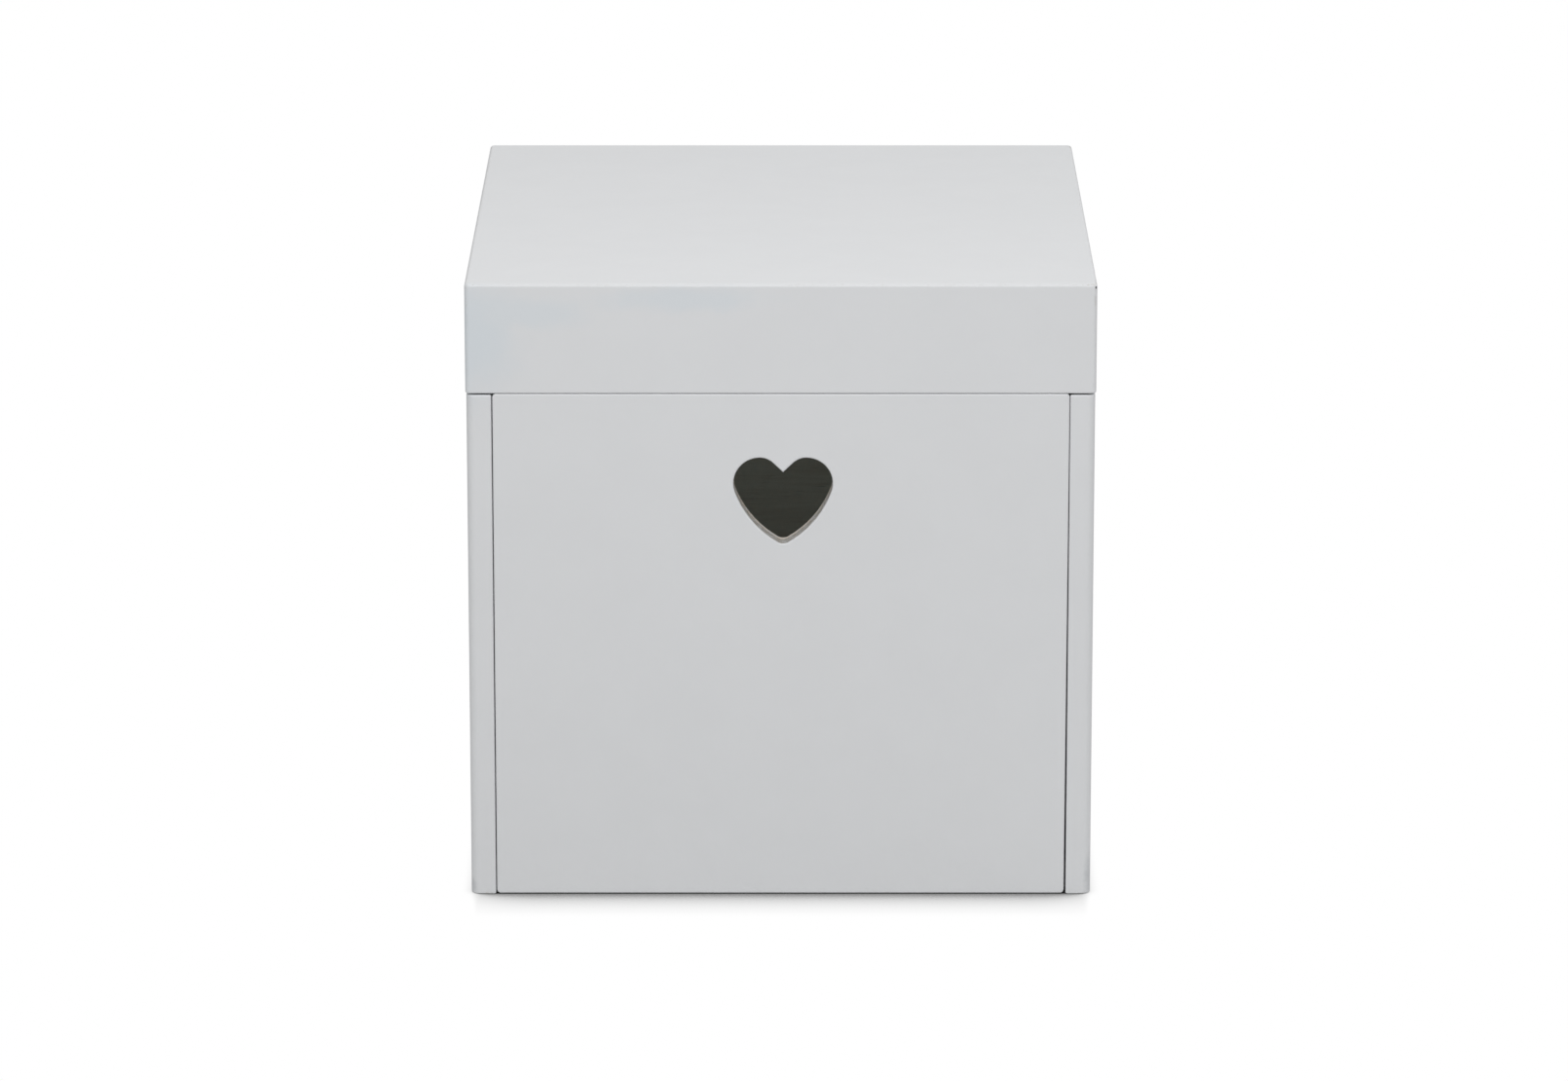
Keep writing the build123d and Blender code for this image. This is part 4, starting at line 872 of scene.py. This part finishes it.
def floor_material(settings):
    """White to the eye with a soft contact shadow, and a pale floor to the light that bounces off it."""
    outer_x, inner_x = case_half_x + 0.8 * MM, case_half_x - 2.5 * MM
    shadow_curve = [(0.5, 0.2), (0.6, 0.58), (0.8, 0.85)]
    side_open, side_dark = 0.4, 0.85
    material = bpy.data.materials.new("pale_floor")
    tree = empty_tree(material)
    place = put(tree, "SeparateXYZ", {0: put(tree, "TexCoord").outputs["Object"]}).outputs
    between = ramp(tree, calc(tree, "ABSOLUTE", place["X"]), outer_x, inner_x)
    reach = ramp(tree, between, 0.0, 1.0, settings.side_shadow, settings.front_shadow)
    near = put(tree, "AmbientOcclusion", {"Distance": reach}, samples=16).outputs["AO"]
    shade = put(tree, "FloatCurve", {"Value": near})
    points = shade.mapping.curves[0].points
    points[0].location = (0.0, 0.0)
    points[1].location = (1.0, 1.0)
    for bend in shadow_curve:
        points.new(*bend)
    shade.mapping.update()
    faint = ramp(tree, near, side_open, 1.0, side_dark, 1.0)
    strength = put(tree, "Mix", {0: between, 2: faint, 3: shade.outputs[0]}).outputs[0]
    seen = put(tree, "Emission", {"Strength": strength}).outputs[0]
    pale = put(tree, "BsdfDiffuse", {"Color": (*settings.floor_colour, 1)}).outputs[0]
    put(tree, "OutputMaterial", {"Surface": by_ray(tree, pale, seen)})
    return material


def lay_floor(settings):
    """Square floor under the case."""
    half = settings.floor_size / 2
    corners = [(x * half, y * half, floor_z) for x, y in ((-1, -1), (1, -1), (1, 1), (-1, 1))]
    mesh = bpy.data.meshes.new("floor")
    mesh.from_pydata(corners, [], [(0, 1, 2, 3)])
    mesh.materials.append(floor_material(settings))
    floor = bpy.data.objects.new("floor", mesh)
    bpy.context.scene.collection.objects.link(floor)


def light_sky(scene, settings):
    """Even light from all round; the eye sees plain white behind the box."""
    world = bpy.data.worlds.new("even_sky")
    scene.world = world
    tree = empty_tree(world)
    white = (1, 1, 1, 1)
    lit = put(tree, "Background", {"Color": white, "Strength": settings.sky}).outputs[0]
    seen = put(tree, "Background", {"Color": white, "Strength": 1.0}).outputs[0]
    put(tree, "OutputWorld", {"Surface": by_ray(tree, lit, seen)})


def area_light(name, place, power, width, depth):
    """Soft light that faces down."""
    lamp = bpy.data.lights.new(name, "AREA")
    lamp.shape = "RECTANGLE"
    lamp.size = width
    lamp.size_y = depth
    lamp.energy = power
    made = bpy.data.objects.new(name, lamp)
    made.location = place
    bpy.context.scene.collection.objects.link(made)
    return made


def hang_light(name, place, size, power):
    """Square soft light that faces the middle of the case."""
    made = area_light(name, place, power, size, size)
    way = case_middle - Vector(place)
    made.rotation_euler = way.to_track_quat("-Z", "Y").to_euler()


def light_inside(settings):
    """Faint light between the deck and the drawer's rim, so that the heart isn't black."""
    wide_share, deep_share, forward_share = 0.75, 0.5, 0.1
    deck_low, deck_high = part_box("tray_deck")
    rim_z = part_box("drawer_left_side")[1].z
    wide, deep = deck_high.x - deck_low.x, deck_high.y - deck_low.y
    place = (0, case_middle.y - forward_share * deep, (deck_low.z + rim_z) / 2)
    made = area_light("inner_light", place, settings.inner_power, wide_share * wide, deep_share * deep)
    made.data.color = settings.inner_colour
    made.visible_camera = False


def place_camera(scene, settings):
    """Camera at the height and angle of the photograph."""
    lens = bpy.data.cameras.new("camera")
    lens.sensor_width = settings.sensor
    lens.lens = settings.lens
    camera = bpy.data.objects.new("camera", lens)
    camera.location = settings.camera_place
    camera.rotation_euler = (math.pi / 2 - settings.camera_pitch, 0, 0)
    scene.collection.objects.link(camera)
    scene.camera = camera


# Operators

class BoxOperator:
    """What the operators of this box share."""

    bl_options = {"REGISTER", "UNDO"}


class MUSICBOX_OT_paint_boards(BoxOperator, bpy.types.Operator):
    """Paint the case, the lid and the tray deck satin white"""

    bl_idname = "musicbox.paint_boards"
    bl_label = "Paint Boards"

    def execute(self, context):
        paint = context.scene.box_paint
        left_top = Vector((lid_low.x, lid_low.y, lid_high.z))
        right_top = Vector((lid_high.x, lid_low.y, lid_high.z))
        left_foot = Vector((lid_low.x, lid_low.y, floor_z))
        right_foot = Vector((lid_high.x, lid_low.y, floor_z))
        cool_reflection, foot_grey = paint.cool_reflection_colour, paint.foot_grey_colour
        white_share, reflection_share = 0.3, 0.7
        faint_cool_reflection = tuple(white_share * a + reflection_share * b for a, b in zip(paint.colour, cool_reflection))
        patches = [
            # Painted cool reflection: three bluish patches along the lid's front
            paint_patch(left_top, (-3, 0, -13), (21, 4, 22), 16, cool_reflection),
            paint_patch(left_top, (16, 0, -7), (18, 4, 5), 8, faint_cool_reflection),
            paint_patch(left_top, (52, 0, -3.8), (26, 4, 4.2), 7, faint_cool_reflection),
            # Grey patches at the two front feet, reaching a few millimetres up from the floor
            paint_patch(right_foot, (0, 0, 4), (2.5, 3, 8), 1.5, foot_grey),
            paint_patch(left_foot, (0, 0, 2), (2, 3, 3), 1.5, foot_grey),
        ]
        chip_place = right_top + Vector((-0.3, 0.4, -0.9)) * MM
        chip_radius = 0.42 * MM
        give(PAINTED, satin_paint("satin_white_paint", patches=patches, chip=(chip_place, chip_radius)))
        return {"FINISHED"}


class MUSICBOX_OT_paint_drawer_front(BoxOperator, bpy.types.Operator):
    """Paint the drawer front and leave the wall of its heart as cut board, with a painted highlight at its
    back edge
    """

    bl_idname = "musicbox.paint_drawer_front"
    bl_label = "Paint Drawer Front"

    def execute(self, context):
        half_width, above_foot, below_top = 20 * MM, 60 * MM, 10 * MM
        # The last part of the wall's depth gets the pale painted highlight
        front_wrap, back_wrap, highlight_depth = 0.45 * MM, 0.1 * MM, 1.7 * MM
        low = Vector((-half_width, front_low.y + front_wrap, front_low.z + above_foot))
        high = Vector((half_width, front_high.y - back_wrap, front_high.z - below_top))
        cut_wall = (low, high, front_high.y - highlight_depth)
        give(["drawer_front"], satin_paint("satin_white_drawer_paint", cut_wall=cut_wall))
        return {"FINISHED"}


class MUSICBOX_OT_bare_boards(BoxOperator, bpy.types.Operator):
    """Give the drawer's box its bare boards"""

    bl_idname = "musicbox.bare_boards"
    bl_label = "Bare Boards"

    def execute(self, context):
        along_x, along_y = (0.06, 1.0, 1.0), (1.0, 0.06, 1.0)
        give(BARE_ACROSS, bare_board("bare_board_across", along_x))
        give(BARE_DEEP, bare_board("bare_board_deep", along_y))
        return {"FINISHED"}


class MUSICBOX_OT_lay_felt(BoxOperator, bpy.types.Operator):
    """Lay the felt of the tray and of the drawer"""

    bl_idname = "musicbox.lay_felt"
    bl_label = "Lay Felt"

    def execute(self, context):
        cloth = felt()
        tray_corner = context.scene.box_felt.tray_corner
        for name, node, body, radius, under in (
            ("tray_lining", "tray_felt", "case", tray_corner, "tray_deck"),
            ("drawer_lining", "drawer_felt", "drawer", 0.0, "drawer_bottom"),
        ):
            lining = felt_pad(name, node, radius, cloth)
            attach(lining, body)
            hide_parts(node)
        return {"FINISHED"}


class MUSICBOX_OT_finish_brass(BoxOperator, bpy.types.Operator):
    """Give the hinges, the key and the brass of the movement their finish"""

    bl_idname = "musicbox.finish_brass"
    bl_label = "Finish Brass"

    def execute(self, context):
        metal = context.scene.box_metal
        tones = (metal.brass, metal.tarnish)
        drawn, turned, filed = (0.08, 1.0, 1.0), (1.0, 0.3, 0.3), (1.0, 1.0, 0.2)
        give(HINGE_BRASS, worn_metal("hinge_brass", *tones, drawn, roughness=0.34))
        give(TRAIN_BRASS, worn_metal("train_brass", *tones, turned, roughness=0.26, dulled=0.35))
        give(["winding_key"], worn_metal(
            "key_brass", *tones, filed, roughness=0.28, blotch_size=5 * MM, dulled=0.55,
        ))
        return {"FINISHED"}


class MUSICBOX_OT_finish_steel(BoxOperator, bpy.types.Operator):
    """Give the screws, shafts, comb and springs their steel"""

    bl_idname = "musicbox.finish_steel"
    bl_label = "Finish Steel"

    def execute(self, context):
        steel = context.scene.box_metal.steel
        dull_tone, drawn = 0.55, (1.0, 1.0, 0.4)
        give(BRIGHT_STEEL, worn_metal(
            "bright_steel", steel, toned(steel, dull_tone), drawn, roughness=0.28, dulled=0.3,
        ))
        give(SPRING_STEEL, spring_steel())
        return {"FINISHED"}


class MUSICBOX_OT_finish_castings(BoxOperator, bpy.types.Operator):
    """Give the bedplate, the cock and the comb's weights their cast faces"""

    bl_idname = "musicbox.finish_castings"
    bl_label = "Finish Castings"

    def execute(self, context):
        metal = context.scene.box_metal
        give(CASTINGS, gritty(
            "cast_zinc", metal.casting, grain_size=0.35 * MM, depth=0.03 * MM, roughness=0.5, Metallic=1.0,
        ))
        give(["comb_weights"], gritty(
            "dull_lead", metal.lead, grain_size=0.25 * MM, depth=0.03 * MM, roughness=0.68, Metallic=0.7,
        ))
        return {"FINISHED"}


class MUSICBOX_OT_finish_mouldings(BoxOperator, bpy.types.Operator):
    """Give the fly, the stop's cap, bush and pad their plastic and rubber"""

    bl_idname = "musicbox.finish_mouldings"
    bl_label = "Finish Mouldings"

    def execute(self, context):
        metal = context.scene.box_metal
        give(MOULDINGS, gritty(
            "ivory_plastic", metal.moulding, grain_size=0.18 * MM, depth=0.006 * MM, roughness=0.42,
        ))
        give(["stop_pad"], gritty(
            "black_rubber", metal.rubber, grain_size=0.22 * MM, depth=0.02 * MM, roughness=0.8,
        ))
        return {"FINISHED"}


class MUSICBOX_OT_wind_stop_spring(BoxOperator, bpy.types.Operator):
    """Wind the return spring of the stop rod"""

    bl_idname = "musicbox.wind_stop_spring"
    bl_label = "Wind Stop Spring"

    def execute(self, context):
        settings = context.scene.box_spring
        low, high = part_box("stop_spring")
        middle = (low + high) / 2
        radius = (high.x - low.x - settings.wire) / 2
        spring = coil("return_spring", middle, low.z, high.z, radius, settings, spring_steel())
        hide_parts("stop_spring")
        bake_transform(spring)
        return {"FINISHED"}


class MUSICBOX_OT_set_stage(BoxOperator, bpy.types.Operator):
    """Set the floor, the soft lights and the camera"""

    bl_idname = "musicbox.set_stage"
    bl_label = "Set Stage"

    def execute(self, context):
        settings = context.scene.box_stage
        lay_floor(settings)
        light_sky(context.scene, settings)
        hang_light("key_light", settings.key_place, settings.key_size, settings.key_power)
        hang_light("top_light", settings.top_place, settings.top_size, settings.top_power)
        hang_light("fill_light", settings.fill_place, settings.fill_size, settings.fill_power)
        light_inside(settings)
        place_camera(context.scene, settings)
        context.scene.view_settings.view_transform = "Standard"
        return {"FINISHED"}


OPERATORS = [
    MUSICBOX_OT_paint_boards,
    MUSICBOX_OT_paint_drawer_front,
    MUSICBOX_OT_bare_boards,
    MUSICBOX_OT_lay_felt,
    MUSICBOX_OT_finish_brass,
    MUSICBOX_OT_finish_steel,
    MUSICBOX_OT_finish_castings,
    MUSICBOX_OT_finish_mouldings,
    MUSICBOX_OT_wind_stop_spring,
    MUSICBOX_OT_set_stage,
]


class MUSICBOX_PT_panel(bpy.types.Panel):
    """Operators of the music box, in the order they are used"""

    bl_idname = "MUSICBOX_PT_panel"
    bl_label = "Wind-up Music Box"
    bl_space_type = "VIEW_3D"
    bl_region_type = "UI"
    bl_category = PANEL_TAB

    def draw(self, context):
        for operator in OPERATORS:
            self.layout.operator(operator.bl_idname)


def register():
    for name, group in SETTINGS.items():
        bpy.utils.register_class(group)
        setattr(bpy.types.Scene, name, PointerProperty(type=group))
    for made in [*OPERATORS, MUSICBOX_PT_panel]:
        bpy.utils.register_class(made)


def unregister():
    for made in reversed([*OPERATORS, MUSICBOX_PT_panel]):
        bpy.utils.unregister_class(made)
    for name, group in SETTINGS.items():
        delattr(bpy.types.Scene, name)
        bpy.utils.unregister_class(group)


def main():
    register()
    for operator in OPERATORS:
        group, name = operator.bl_idname.split(".")
        getattr(getattr(bpy.ops, group), name)()


if __name__ == "__main__":
    main()
